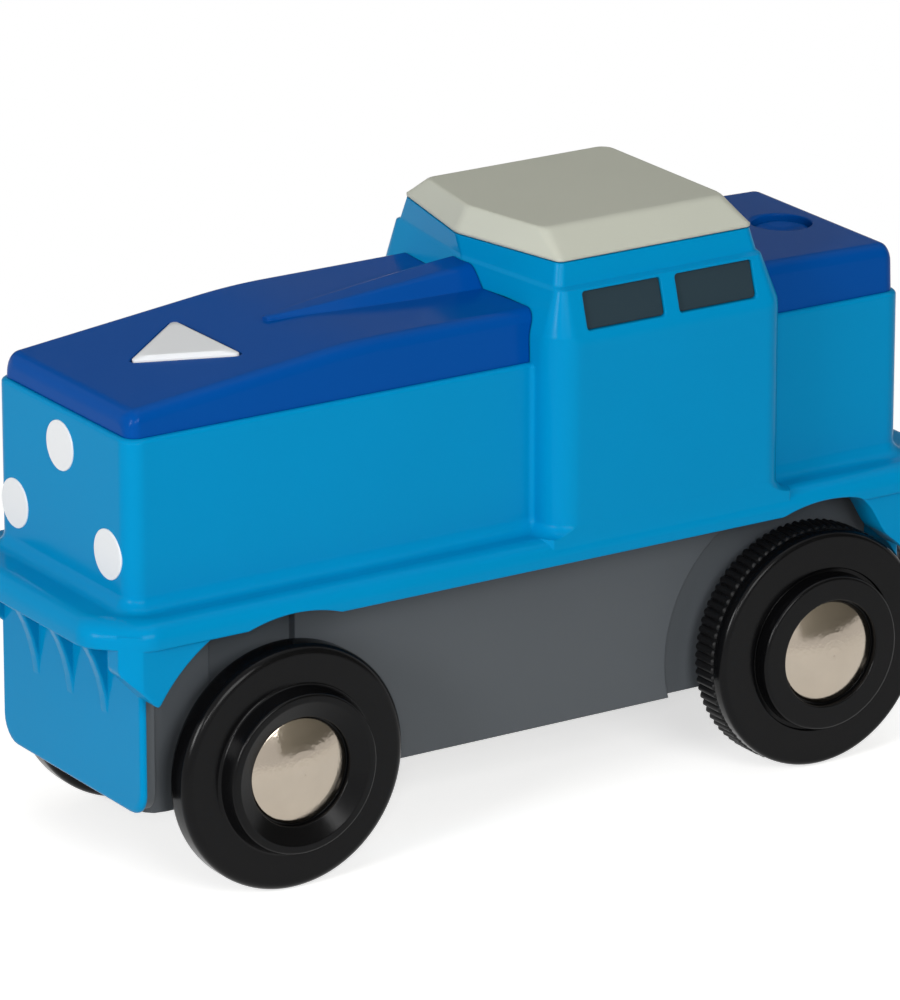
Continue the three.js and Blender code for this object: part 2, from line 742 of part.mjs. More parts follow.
// The outer skin of a cover from a rear station to a front one, with one end rounded
function coverSkin(stations, endX, way) {
  const end = edgeSteps(COVER.edgeRound)
    .map(({ inset, back }) => crossRing(coverCorners(endX, inset), endX - way * back));
  const plain = stations.map((x) => crossRing(coverCorners(x, 0), x));
  return way > 0 ? loft([...plain, ...end.reverse()]) : loft([...end, ...plain]);
}

// The room under a cover
function coverRoom(stations) {
  return loft(
    stations.map((x) => {
      const corners = coverCorners(x, COVER.wall);
      corners[0][1] = HOOD.seamZ - OVERRUN;
      corners[1][1] = HOOD.seamZ - OVERRUN;
      return crossRing(corners, x);
    }),
  );
}

// The tongue of a cover, which drops inside the hood's walls
function coverTongue(x0, x1) {
  const half = hoodInnerHalf - SEAT;
  const z0 = HOOD.seamZ - COVER.tongueDepth;
  const z1 = HOOD.seamZ + COVER.wall;
  const w = COVER.tongueWall;
  return cut(
    box(x0, x1, -half, half, z0, z1),
    box(x0 + w, x1 - w, -half + w, half - w, z0 - OVERRUN, z1 + OVERRUN),
  );
}

// The ridge that grows from a point on the level top back to the cab
function ridge() {
  const length = RIDGE.tipX - CAB.eavesCornerX;
  const sunk = COVER.levelZ - COVER.wall / 2;
  const rings = RIDGE_STATION_SHARES.map(({ along, half, rise }) => {
    const base = RIDGE.tipHalf + half * (RIDGE.half - RIDGE.tipHalf);
    const top = COVER.levelZ + rise * RIDGE.height;
    const crest = Math.min(RIDGE.crestHalf, base / 2);
    const corners = [
      [-base, sunk, 0],
      [base, sunk, 0],
      [base, COVER.levelZ, 0],
      [crest, top, RIDGE.shoulder],
      [-crest, top, RIDGE.shoulder],
      [-base, COVER.levelZ, 0],
    ];
    return crossRing(corners, RIDGE.tipX - along * length);
  });
  return loft(rings.reverse());
}

// A board's screw post, standing down from a cover's inner face to the board
const boardZ = -(COVER.wall + BUTTON.gap + BUTTON.flange + SWITCH.plungerRise + SWITCH.height);
const stackPost = (x, y) => rodZ(x, y, boardZ, -COVER.wall / 2, SCREW.radius + BOSS_WALL);

// Places of the posts at opposite corners of the front board, and of the rear board's one post
const postY = BOARD.half - BOARD.postY;
const frontPosts = [
  [FRONT_BOARD.x0 + BOARD.postX, postY],
  [FRONT_BOARD.x1 - BOARD.postX, -postY],
];
const rearPost = [REAR_BOARD.x1 - BOARD.postX, -postY];

// The forward button's triangle, apex to the front, grown by a margin
function triangle(grow) {
  const side = Math.hypot(BUTTON.noseLength, BUTTON.noseHalf);
  const tip = (grow * side) / BUTTON.noseHalf;
  const foot = (grow * (side + BUTTON.noseHalf)) / BUTTON.noseLength;
  const front = BUTTON.noseLength / 2;
  const radius = BUTTON.noseCornerRadius;
  return [
    [front + tip, 0, radius],
    [-front - grow, BUTTON.noseHalf + foot, radius],
    [-front - grow, -BUTTON.noseHalf - foot, radius],
  ];
}

// The nose frame: its origin lies on the slope and its z axis stands square to it
const noseFrame = new THREE.Matrix4()
  .makeTranslation(BUTTON.noseX, 0, coverTop(BUTTON.noseX))
  .multiply(new THREE.Matrix4().makeRotationY(noseTilt));
const rearFrame = new THREE.Matrix4().makeTranslation(BUTTON.roundX, 0, coverTop(BUTTON.roundX));

// A solid moved into a frame, still open to joins and cuts
const framed = (shape, frame) => geometryOf(shape).applyMatrix4(frame);

// A board screw's pilot hole in its post
const pilotHole = (x, y) => rodZ(x, y, boardZ - OVERRUN, -COVER.wall, SCREW.radius + PRESS);

function frontHoodCover() {
  const frontX = HOOD.frontX - COVER.step;
  const skin = coverSkin([CAB.eavesCornerX, COVER.kinkX], frontX, 1);
  const room = coverRoom([CAB.apexX + CAB.wall, COVER.kinkX, frontX - COVER.wall]);
  const tongue = coverTongue(CAB.apexX + CAB.wall + SEAT, HOOD.frontX - HOOD.wall - SEAT);
  const posts = frontPosts.map(([x, y]) => framed(stackPost(x, y), noseFrame));
  const holes = frontPosts.map(([x, y]) => framed(pilotHole(x, y), noseFrame));
  const mouth = framed(extrudeZ(outline(triangle(BUTTON.gap)), -COVER.wall - OVERRUN, OVERRUN), noseFrame);
  return cut(
    join(cut(join(skin, ridge()), room), tongue, ...posts),
    ...holes,
    mouth,
    cabBlock(SEAM),
  );
}

function rearHoodCover() {
  const endX = HOOD.rearX + COVER.step;
  const skin = coverSkin([CAB.rearX, CAB.eavesRearX], endX, -1);
  const room = coverRoom([endX + COVER.wall, CAB.rearX - CAB.wall]);
  const tongue = coverTongue(HOOD.rearX + HOOD.wall + SEAT, CAB.rearX - CAB.wall - SEAT);
  const post = framed(stackPost(...rearPost), rearFrame);
  const hole = framed(pilotHole(...rearPost), rearFrame);
  const mouth = framed(
    rodZ(0, 0, -COVER.wall - OVERRUN, OVERRUN, BUTTON.roundRadius + BUTTON.gap, ROUND_STEPS),
    rearFrame,
  );
  return cut(join(cut(skin, room), tongue, post), hole, mouth, cabBlock(SEAM));
}

// The roof's outline at a level, drawn in by an inset
function roofCorners(apexX, cornerX, half, rearX, inset) {
  const radius = ROOF_RIM.cornerRadius;
  return [
    [rearX + inset, -half + inset, radius],
    [cornerX - inset, -half + inset, radius],
    [apexX - inset, 0, 0],
    [cornerX - inset, half - inset, radius],
    [rearX + inset, half - inset, radius],
  ];
}

function cabRoof() {
  const base = (inset) =>
    roofCorners(CAB.eavesApexX, CAB.eavesCornerX, CAB.eavesHalf, CAB.eavesRearX, inset);
  const top = (inset) =>
    roofCorners(ROOF.topApexX, ROOF.topCornerX, ROOF.topHalf, ROOF.topRearX, inset);
  const skin = loft([
    levelRing(base(0), CAB.eavesZ + SEAM),
    levelRing(base(0), CAB.eavesZ + ROOF_RIM.height),
    levelRing(top(0), roofTopZ),
  ]);
  const wall = ROOF_RIM.wall;
  const room = loft([
    levelRing(base(2 * wall), CAB.eavesZ - OVERRUN),
    levelRing(top(2 * wall), roofTopZ - wall),
  ]);
  const half = cabInnerHalf - SEAT;
  const w = ROOF_RIM.tongueWall;
  const z0 = CAB.eavesZ - ROOF_RIM.tongueDepth;
  const z1 = CAB.eavesZ + wall;
  const x0 = cabRearX + SEAT;
  const x1 = cabFrontX - SEAT;
  const tongue = cut(
    box(x0, x1, -half, half, z0, z1),
    box(x0 + w, x1 - w, -half + w, half - w, z0 - OVERRUN, z1 + OVERRUN),
  );
  return join(cut(skin, room), tongue);
}

// One side's window insert: two panes on a back plate inside the wall
function windowInsert(side) {
  const inner = headHalf - CAB.wall - SEAM - WINDOW.backPlate / 2;
  const outer = headHalf - WINDOW.recess;
  const ends = [side * inner, side * outer].sort((a, b) => a - b);
  const panes = [0, 1].map((row) => leaned(windowOpening(row, -SEAM, ...ends), side));
  return join(insertPlate(side, 0), ...panes);
}

// The chassis's outer block, narrowed behind the wheels
function chassisBlock() {
  const block = extrudeZ(
    outline(bar(chassisRearX, chassisFrontX, CHASSIS.half, CHASSIS.cornerRadius)),
    CHASSIS.bottomZ,
    chassisTopZ,
  );
  const wells = [-1, 1].flatMap((side) => {
    const ends = [side * CHASSIS.wellHalf, side * (CHASSIS.half + OVERRUN)].sort((a, b) => a - b);
    return [
      box(
        CHASSIS.frontWellRearX,
        CHASSIS.frontWellFrontX,
        ...ends,
        CHASSIS.bottomZ - OVERRUN,
        chassisTopZ + OVERRUN,
      ),
      rodY(rearAxleX, ...ends, axleZ, CHASSIS.rearWellRadius, 2 * ROUND_STEPS),
    ];
  });
  return cut(block, ...wells);
}

// The two ears that hold the coupler's pin
function couplerEars() {
  const tongue = COUPLER.tongueHalf + MOVE;
  const levels = [COUPLER.height - tongue - COUPLER.earWall, COUPLER.height + tongue];
  const earEnd = COUPLER.pivotX - COUPLER.earReach;
  return levels.map((z) =>
    extrudeZ(
      outline([
        [earEnd, -COUPLER.earHalf, COUPLER.earReach],
        [chassisRearX + CHASSIS.wall, -COUPLER.earHalf, 0],
        [chassisRearX + CHASSIS.wall, COUPLER.earHalf, 0],
        [earEnd, COUPLER.earHalf, COUPLER.earReach],
      ]),
      z,
      z + COUPLER.earWall,
    ),
  );
}

const doorEdge = {
  x0: bayRearX - DOOR.ledge,
  x1: bayFrontX + DOOR.ledge,
  half: bayHalf + DOOR.sideLedge,
};

// The battery door's outline, grown by a margin: a long plate with a round ear for its screw
function doorPrism(grow, z0, z1) {
  const plate = extrudeZ(outline(bar(doorEdge.x0 - grow, doorEdge.x1 + grow, doorEdge.half + grow)), z0, z1);
  const ear = rodZ(DOOR.earX, DOOR.earY, z0, z1, DOOR.earRadius + grow, ROUND_STEPS);
  return join(plate, ear);
}

// Where the opening under the gears lies, and the two screws of its cover
const sumpX = [rearAxleX - SUMP.reach, Math.min(rearAxleX + SUMP.reach, gearBayFrontX - SEAT)];
const sumpScrews = [
  [chassisRearX + CHASSIS.wall + SUMP_SCREW.fromWall, SUMP_SCREW.y],
  [gearBayFrontX - SUMP_SCREW.fromWall, SUMP_SCREW.y],
];

function chassis() {
  const wall = CHASSIS.wall;
  const inner = CHASSIS.half - wall;
  const over = chassisTopZ + OVERRUN;
  const frontRoom = box(
    bayFrontX + BAY.endWall,
    chassisFrontX - wall,
    -wellInnerHalf,
    wellInnerHalf,
    floorZ,
    over,
  );
  const gearRoom = box(chassisRearX + wall, gearBayFrontX, -wellInnerHalf, wellInnerHalf, floorZ, over);
  const bay = box(bayRearX, bayFrontX, -bayHalf, bayHalf, CHASSIS.bottomZ - OVERRUN, bayTopZ);
  const topRoom = box(gearBayFrontX, bayFrontX + BAY.endWall, -inner, inner, bayTopZ + BAY.ceiling, over);
  const sideX = [bayRearX + BAY.endWall, CHASSIS.frontWellRearX - BAY.endWall - wall];
  const sideRooms = [-1, 1].map((side) => {
    const ends = [side * (bayHalf + wall), side * inner].sort((a, b) => a - b);
    return box(...sideX, ...ends, floorZ, over);
  });
  const slots = [
    [bayFrontX - CONTACT.thickness - SEAT, bayFrontX + SEAT],
    [bayRearX - SEAT, bayRearX + CONTACT.thickness + SEAT],
  ].map(([x0, x1]) =>
    box(x0, x1, -CONTACT.tabHalf - SEAT, CONTACT.tabHalf + SEAT, bayTopZ - SEAT, over),
  );
  const doorSeat = doorPrism(SEAT, CHASSIS.bottomZ - OVERRUN, CHASSIS.bottomZ + DOOR.thickness + SEAM);
  const sumpSeat = box(
    sumpX[0],
    sumpX[1],
    -SUMP.plateHalf - SEAT,
    SUMP.plateHalf + SEAT,
    CHASSIS.bottomZ - OVERRUN,
    floorZ + OVERRUN,
  );
  const hollow = cut(chassisBlock(), frontRoom, gearRoom, bay, topRoom, ...sideRooms, ...slots, sumpSeat);
  const bossRadius = SCREW.radius + BOSS_WALL;
  const post = rodZ(BODY_SCREW.x, 0, CHASSIS.bottomZ, chassisTopZ, BODY_SCREW.postRadius);
  const tie = box(BODY_SCREW.x, chassisFrontX - wall / 2, -wall / 2, wall / 2, floorZ, chassisTopZ);
  const doorBoss = rodZ(DOOR.earX, DOOR.earY, floorZ, floorZ + SCREW.length, bossRadius);
  const sumpBosses = sumpScrews.flatMap(([x, y], i) => {
    const wallX = [chassisRearX + wall / 2, gearBayFrontX + BAY.partition / 2][i];
    const ends = [x, wallX].sort((a, b) => a - b);
    const top = floorZ + SCREW.length;
    return [rodZ(x, y, floorZ, top, bossRadius), box(...ends, y - wall / 2, y + wall / 2, floorZ, top)];
  });
  const tabs = [-1, 1].map((side) => {
    const ends = [side * HOOK.innerY, side * HOOK.outerY].sort((a, b) => a - b);
    const top = chassisTopZ + HOOK.rise;
    return box(chassisRearX, chassisRearX + HOOK.wall, ...ends, chassisTopZ - OVERRUN, top);
  });
  const barbTipX = HOOD.rearX + HOOD.wall - HOOK.barb + SEAT;
  const barbs = hookBoxes(0, chassisRearX + HOOK.wall / 2, barbTipX);
  const solid = join(hollow, post, tie, doorBoss, ...sumpBosses, ...tabs, ...barbs, ...couplerEars());
  const counterbores = [
    rodZ(BODY_SCREW.x, 0, CHASSIS.bottomZ - OVERRUN, BODY_SCREW.shoulderZ, SCREW.headRadius + SEAT),
    rodZ(BODY_SCREW.x, 0, CHASSIS.bottomZ, chassisTopZ + OVERRUN, SCREW.radius + SEAT),
  ];
  const bores = [-1, 1].flatMap((side) => {
    const ends = [side * (wellInnerHalf - OVERRUN), side * (CHASSIS.half + OVERRUN)].sort((a, b) => a - b);
    return [
      rodY(AXLE.frontX, ...ends, axleZ, AXLE.radius + RUN, ROUND_STEPS),
      rodY(rearAxleX, ...ends, axleZ, AXLE.radius + RUN + BUSH.wall + PRESS, ROUND_STEPS),
    ];
  });
  const idlerSocket = rodY(rearAxleX, wellInnerHalf - OVERRUN, idlerPinEnd + SEAM, idlerZ, IDLER_PIN + PRESS);
  const pilots = [[DOOR.earX, DOOR.earY], ...sumpScrews].map(([x, y]) =>
    rodZ(x, y, CHASSIS.bottomZ, CHASSIS.bottomZ + SCREW.head + SCREW.length, SCREW.radius + PRESS),
  );
  const tongue = COUPLER.tongueHalf + MOVE + COUPLER.earWall + OVERRUN;
  const couplerBore = rodZ(
    COUPLER.pivotX,
    0,
    COUPLER.height - tongue,
    COUPLER.height + tongue,
    COUPLER.pinRadius + PRESS,
  );
  return cut(solid, ...counterbores, ...bores, idlerSocket, ...pilots, doorSeat, couplerBore);
}

// A cross-head screw pointing up: its head's flat face lies at z0
function screw(z0, length) {
  const { radius, headRadius, head, slot, slotDepth } = SCREW;
  const body = join(
    rodZ(0, 0, z0, z0 + head, headRadius),
    rodZ(0, 0, z0 + head / 2, z0 + head + length, radius),
  );
  const reach = headRadius - slot;
  return cut(
    body,
    box(-reach, reach, -slot / 2, slot / 2, z0 - OVERRUN, z0 + slotDepth),
    box(-slot / 2, slot / 2, -reach, reach, z0 - OVERRUN, z0 + slotDepth),
  );
}

// The plate under the gears, with a bulge that clears the axle gear
function gearboxCover() {
  const half = SUMP.plateHalf;
  const clear = gearRadius(TEETH.axle) + MOVE;
  const reach = clear + SUMP.wall + OVERRUN;
  const plate = box(sumpX[0] + SEAT, sumpX[1] - SEAT, -half, half, CHASSIS.bottomZ, floorZ - SEAM);
  const pocketY = [wideY - MOVE, wideY + GEAR.wide + MOVE];
  const bulgeY = [pocketY[0] - SUMP.wall, pocketY[1] + SUMP.wall];
  const bulge = cut(
    rodY(rearAxleX, ...bulgeY, axleZ, clear + SUMP.wall, ROUND_STEPS),
    box(rearAxleX - reach, rearAxleX + reach, -half, half + OVERRUN, floorZ - SEAM, axleZ + reach),
  );
  const pocket = rodY(rearAxleX, ...pocketY, axleZ, clear, ROUND_STEPS);
  const holes = sumpScrews.flatMap(([x, y]) => [
    rodZ(x, y, CHASSIS.bottomZ - OVERRUN, floorZ + OVERRUN, SCREW.radius + SEAT),
    rodZ(x, y, CHASSIS.bottomZ - OVERRUN, CHASSIS.bottomZ + SCREW.head / 2, SCREW.headRadius + SEAT),
  ]);
  return cut(join(plate, bulge), pocket, ...holes);
}

function batteryDoor() {
  const plate = doorPrism(0, CHASSIS.bottomZ, CHASSIS.bottomZ + DOOR.thickness);
  const grips = Array.from({ length: DOOR_GRIP.count }, (_, i) => {
    const x = doorEdge.x1 - DOOR_GRIP.setBack - i * DOOR_GRIP.pitch;
    return box(
      x,
      x + DOOR_GRIP.width,
      -DOOR_GRIP.half,
      DOOR_GRIP.half,
      CHASSIS.bottomZ - OVERRUN,
      CHASSIS.bottomZ + DOOR_GRIP.depth,
    );
  });
  const hole = rodZ(DOOR.earX, DOOR.earY, CHASSIS.bottomZ - OVERRUN, floorZ + OVERRUN, SCREW.radius + SEAT);
  const sink = rodZ(
    DOOR.earX,
    DOOR.earY,
    CHASSIS.bottomZ - OVERRUN,
    CHASSIS.bottomZ + SCREW.head / 2,
    SCREW.headRadius + SEAT / 2,
  );
  return cut(plate, ...grips, hole, sink);
}

// The cell lies along the loco with its nub to the front
function batteryCell() {
  const nubX = CELL.frontX - CELL.nub;
  return join(
    rodX(cellRearX, nubX, 0, cellZ, CELL.radius, ROUND_STEPS),
    rodX(nubX - CELL.nub, CELL.frontX, 0, cellZ, CELL.nubRadius),
  );
}

// A contact strip standing across the bay with a tab up through the ceiling
function contactStrip(x0, x1) {
  const top = cellZ + CONTACT.half + CONTACT.bottomRise;
  const tabTop = bayTopZ + BAY.ceiling + CONTACT.tabRise;
  return join(
    box(x0, x1, -CONTACT.half, CONTACT.half, floorZ + CONTACT.bottomRise, top),
    box(x0, x1, -CONTACT.tabHalf, CONTACT.tabHalf, top - CONTACT.bottomRise, tabTop),
  );
}

// A tube of round wire along a path
function tube(path, radius, sides, steps) {
  const section = new THREE.Shape();
  section.absarc(0, 0, radius, 0, 2 * Math.PI);
  return new THREE.ExtrudeGeometry(section, {
    extrudePath: path,
    steps,
    curveSegments: sides / 2,
    bevelEnabled: false,
  });
}

// The coil that pushes the cell forward
class Coil extends THREE.Curve {
  getPoint(t) {
    const angle = t * CONTACT_SPRING.turns * 2 * Math.PI;
    const r = CONTACT_SPRING.radius;
    const wire = CONTACT_SPRING.wire / 2 + PRESS;
    const x = bayRearX + CONTACT.thickness + wire + t * (CONTACT_SPRING.length - 2 * wire);
    return new THREE.Vector3(x, r * Math.cos(angle), cellZ + r * Math.sin(angle));
  }
}

const coilSteps = CONTACT_SPRING.turns * SMALL_STEPS;
const contactSpring = () => tube(new Coil(), CONTACT_SPRING.wire / 2, WIRE.sides, coilSteps);

// Radii of a gear
const pitchRadius = (teeth) => (GEAR.module * teeth) / 2;
const gearRadius = (teeth) => pitchRadius(teeth) + GEAR.module * GEAR.addendumShare;

// A spur gear's outline: phase is in teeth, with a tooth straight up at 0
function gearShape(teeth, phase) {
  const root = pitchRadius(teeth) - GEAR.module * GEAR.dedendumShare;
  const tip = gearRadius(teeth);
  const points = Array.from({ length: teeth }, (_, i) => {
    const at = (share, radius) => {
      const angle = Math.PI / 2 - ((i + phase + share) / teeth) * 2 * Math.PI;
      return new THREE.Vector2(radius * Math.cos(angle), radius * Math.sin(angle));
    };
    return [
      at(-TOOTH_HALF_SHARES.root, root),
      at(-TOOTH_HALF_SHARES.tip, tip),
      at(TOOTH_HALF_SHARES.tip, tip),
      at(TOOTH_HALF_SHARES.root, root),
    ];
  }).flat();
  return new THREE.Shape(points.reverse());
}

// A gear on a shaft along Y, about its own centre
const gear = (teeth, phase, y0, y1) => extrudeY(gearShape(teeth, phase), y0, y1);

function axleGear() {
  const y1 = wideY + GEAR.wide;
  const bore = rodY(0, wideY - OVERRUN, y1 + OVERRUN, 0, AXLE.radius + PRESS, ROUND_STEPS);
  return cut(gear(TEETH.axle, 0, wideY, y1), bore);
}

// The phase, in teeth, that turns a gap of a gear with an even count straight down
const gapDown = (teeth) => (teeth + 1) / 2;

function idlerGear() {
  const y1 = narrowY + GEAR.narrow;
  const bore = rodY(0, wideY - OVERRUN, y1 + OVERRUN, 0, IDLER_PIN + RUN, SMALL_STEPS);
  const sleeve = rodY(0, wideY, y1, 0, pitchRadius(TEETH.idlerSmall) - GEAR.module * GEAR.dedendumShare);
  const small = gear(TEETH.idlerSmall, gapDown(TEETH.idlerSmall), wideY, wideY + GEAR.wide);
  return cut(join(small, sleeve, gear(TEETH.idlerLarge, 0, narrowY, y1)), bore);
}

function motorPinion() {
  const y1 = narrowY + GEAR.narrow;
  const bore = rodY(0, narrowY - OVERRUN, y1 + OVERRUN, 0, MOTOR.shaftRadius + PRESS);
  return cut(gear(TEETH.pinion, gapDown(TEETH.pinion), narrowY, y1), bore);
}

const motorFaceY = GEAR_PLATE.innerY - SEAM;

// The motor's section, with flats above and below, drawn in by an inset
function motorSection(inset) {
  const half = MOTOR.width / 2 - inset;
  const z = MOTOR.height / 2 - inset;
  return outline(upright(half, -z, z, MOTOR.cornerRadius, MOTOR.cornerRadius));
}

function motorCan() {
  const can = extrudeY(motorSection(0), MOTOR.rearY + MOTOR.capLength, motorFaceY);
  return cut(can, rodY(0, MOTOR.shaftRearY, motorFaceY + OVERRUN, 0, MOTOR.shaftRadius + RUN));
}

const motorEndCap = () => extrudeY(motorSection(MOTOR.capInset), MOTOR.rearY, MOTOR.rearY + MOTOR.capLength);

// The plate that carries the motor's face, the idler pin and the feet on the floor
function gearPlate() {
  const x = rearAxleX;
  const y0 = GEAR_PLATE.innerY;
  const y1 = y0 + GEAR_PLATE.thickness;
  const plate = box(x - GEAR_PLATE.half, x + GEAR_PLATE.half, y0, y1, floorZ, motorZ + GEAR_PLATE.topMargin);
  const span = [y0 - OVERRUN, y1 + OVERRUN];
  return cut(
    plate,
    rodY(x, ...span, axleZ, AXLE.radius + MOVE, ROUND_STEPS),
    rodY(x, ...span, idlerZ, IDLER_PIN + PRESS),
    rodY(x, ...span, motorZ, MOTOR.shaftRadius + MOVE),
  );
}

// The plate with strips over and under the motor that clip it in place
function gearFrame() {
  const clips = [-1, 1].map((side) => {
    const near = motorZ + side * (MOTOR.height / 2 + SEAM);
    const ends = [near, near + side * MOTOR_CLIP.wall].sort((a, b) => a - b);
    return box(
      rearAxleX - MOTOR_CLIP.half,
      rearAxleX + MOTOR_CLIP.half,
      GEAR_PLATE.innerY - MOTOR_CLIP.length,
      GEAR_PLATE.innerY + GEAR_PLATE.thickness / 2,
      ...ends,
    );
  });
  return join(gearPlate(), ...clips);
}

function bush() {
  const outer = AXLE.radius + RUN + BUSH.wall;
  return turned([
    [AXLE.radius + RUN, 0],
    [outer, 0],
    [outer, CHASSIS.wellWall + BUSH.proud],
    [AXLE.radius + RUN, CHASSIS.wellWall + BUSH.proud],
    [AXLE.radius + RUN, 0],
  ]);
}

// Profile of a wheel's hollow back, from the bore out to the rim's inner edge
function wheelBack(rimRadius, { innerY, webY }) {
  const bore = AXLE.radius + PRESS;
  const rim = rimRadius - WHEEL.rimWall;
  return [
    [bore, WHEEL.hubY],
    [WHEEL.hubRadius, WHEEL.hubY],
    [WHEEL.hubRadius, webY],
    [rim, webY],
    [rim, innerY],
  ];
}

// A quarter round between the tread and a face, seen in the profile
function treadCorner(y, way) {
  const steps = edgeSteps(WHEEL.edgeRound).map(({ inset, back }) => [WHEEL.radius - inset, y - way * back]);
  return way > 0 ? steps.reverse() : steps;
}

// The hub cap's seat, from the boss inwards to the axle's bore
function capSeat({ mouthY, seatY }) {
  const hole = HUB_CAP.radius + SEAT;
  const bore = AXLE.radius + PRESS;
  return [
    [hole, mouthY],
    [hole, seatY],
    [bore, seatY],
    [bore, WHEEL.hubY],
  ];
}

function frontWheel() {
  const w = FRONT_WHEEL;
  return turned([
    ...wheelBack(WHEEL.radius, w),
    ...treadCorner(w.innerY, -1),
    ...treadCorner(w.faceY, 1),
    [w.bossRadius, w.faceY],
    [w.crestOuter, w.crestY],
    [w.crestInner, w.crestY],
    ...capSeat(w),
  ]);
}

function rearWheel() {
  const w = REAR_WHEEL;
  const core = WHEEL.radius - TYRE.wall;
  return turned([
    ...wheelBack(core, w),
    [w.discRadius, w.innerY],
    [w.discRadius, TYRE.innerY],
    [core, TYRE.innerY],
    [core, TYRE.outerY],
    [w.discRadius, TYRE.outerY],
    [w.discRadius, w.faceY - w.discEdge],
    [w.discRadius - w.discEdge, w.faceY],
    [w.bossRadius, w.faceY],
    [w.bossRadius, w.faceY - w.grooveDepth],
    [w.bossRadius - w.groove, w.faceY - w.grooveDepth],
    [w.bossRadius - w.groove, w.mouthY],
    ...capSeat(w),
  ]);
}

// The ribbed rubber tyre of a driven wheel
function tractionTyre() {
  const points = Array.from({ length: 2 * TYRE.ribs }, (_, i) => {
    const angle = (i / TYRE.ribs) * Math.PI;
    const radius = WHEEL.radius - (i % 2) * TYRE.ribDepth;
    return new THREE.Vector2(radius * Math.cos(angle), radius * Math.sin(angle));
  });
  const ends = [TYRE.innerY + PRESS, TYRE.outerY - PRESS];
  const bore = WHEEL.radius - TYRE.wall + RUN;
  return cut(
    extrudeY(new THREE.Shape(points), ...ends),
    rodY(0, ends[0] - OVERRUN, ends[1] + OVERRUN, 0, bore, ROUND_STEPS),
  );
}

function hubCap(seatY) {
  const { radius, rim, dome } = HUB_CAP;
  const y0 = seatY + PRESS;
  const doming = Array.from({ length: CORNER_STEPS }, (_, i) => {
    const share = 1 - i / CORNER_STEPS;
    return [radius * share, y0 + rim + dome * (1 - share * share)];
  });
  return turned([[0, y0], [radius, y0], ...doming, [0, y0 + rim + dome]]);
}

// Button stack pieces, in a frame whose z = 0 is the cover's outer face
const flangeTop = -COVER.wall - BUTTON.gap;
const stemEnd = flangeTop - BUTTON.flange;
const switchTop = stemEnd - SWITCH.plungerRise;

function forwardButton() {
  const face = BUTTON.noseProud;
  const bevel = BUTTON.noseBevel;
  return join(
    loft([
      levelRing(triangle(0), flangeTop - BUTTON.flange / 2),
      levelRing(triangle(0), face - bevel),
      levelRing(triangle(-bevel), face),
    ]),
    extrudeZ(outline(triangle(BUTTON.flangeReach)), flangeTop - BUTTON.flange, flangeTop),
  );
}

function stopButton() {
  const r = BUTTON.roundRadius;
  const top = -BUTTON.roundSunk;
  const low = flangeTop - BUTTON.flange;
  const dish = Array.from({ length: CORNER_STEPS }, (_, i) => {
    const share = 1 - (i + 1) / CORNER_STEPS;
    const reach = r - BUTTON.roundDish;
    return [reach * share, top - BUTTON.roundDish * (1 - share * share)];
  });
  return turned(
    [
      [0, low],
      [r + BUTTON.flangeReach, low],
      [r + BUTTON.flangeReach, flangeTop],
      [r, flangeTop],
      [r, top],
      [r - BUTTON.roundDish, top],
      ...dish,
    ],
    ROUND_STEPS,
  ).rotateX(Math.PI / 2);
}

function switchBody() {
  const h = SWITCH.half;
  return cut(
    box(-h, h, -h, h, boardZ, switchTop),
    rodZ(0, 0, switchTop - SWITCH.plungerDepth, switchTop + OVERRUN, SWITCH.plungerRadius + RUN),
  );
}

const switchPlunger = () =>
  rodZ(0, 0, switchTop - SWITCH.plungerDepth + BUTTON.travel + BUTTON.gap, stemEnd - PRESS, SWITCH.plungerRadius);

// A board under its switch, with a hole at each of its screws
function board({ x0, x1 }, screws) {
  const low = boardZ - BOARD.thickness;
  const plate = box(x0, x1, -BOARD.half, BOARD.half, low, boardZ - PRESS);
  return cut(plate, ...screws.map(([x, y]) => rodZ(x, y, low - OVERRUN, boardZ + OVERRUN, SCREW.radius + SEAT)));
}

function controlBoard() {
  const low = boardZ - BOARD.thickness;
  const chip = box(-CHIP.length / 2, CHIP.length / 2, -CHIP.half, CHIP.half, low - CHIP.height, low + PRESS);
  return join(board(FRONT_BOARD, frontPosts), chip);
}

// The coupler's swinging arm: a tongue on the pin and a cup for the magnet
function couplerArm() {
  const { height, tongueHalf, tongueWidth, pivotX, cupX, cupWall, cupRadius } = COUPLER;
  const half = tongueWidth / 2;
  const tongue = extrudeZ(
    outline([
      [cupX - cupWall / 2, -half, 0],
      [pivotX + half, -half, half],
      [pivotX + half, half, half],
      [cupX - cupWall / 2, half, 0],
    ]),
    height - tongueHalf,
    height + tongueHalf,
  );
  const cup = rodX(cupX - cupWall, cupX, 0, height, cupRadius, ROUND_STEPS);
  return cut(
    join(tongue, cup),
    rodZ(pivotX, 0, height - tongueHalf - OVERRUN, height + tongueHalf + OVERRUN, COUPLER.pinRadius + RUN),
    rodX(cupX - cupWall - OVERRUN, cupX + cupWall, 0, height, COUPLER.rivetRadius + PRESS),
  );
}

function couplerPin() {
  const reach = COUPLER.tongueHalf + MOVE + COUPLER.earWall;
  const { height, pinRadius, pinHead, pinHeadRadius, pivotX } = COUPLER;
  return join(
    rodZ(pivotX, 0, height - reach, height + reach + pinHead, pinRadius),
    rodZ(pivotX, 0, height + reach, height + reach + pinHead, pinHeadRadius),
  );
}

const magnetX1 = COUPLER.cupX - COUPLER.cupWall - MOVE;
const magnetX0 = magnetX1 - COUPLER.magnetLength;

function magnetRivet() {
  const x0 = magnetX0 - SEAM - COUPLER.rivetHead;
  return join(
    rodX(x0, COUPLER.cupX, 0, 0, COUPLER.rivetRadius),
    rodX(x0, x0 + COUPLER.rivetHead, 0, 0, COUPLER.rivetHeadRadius),
  );
}

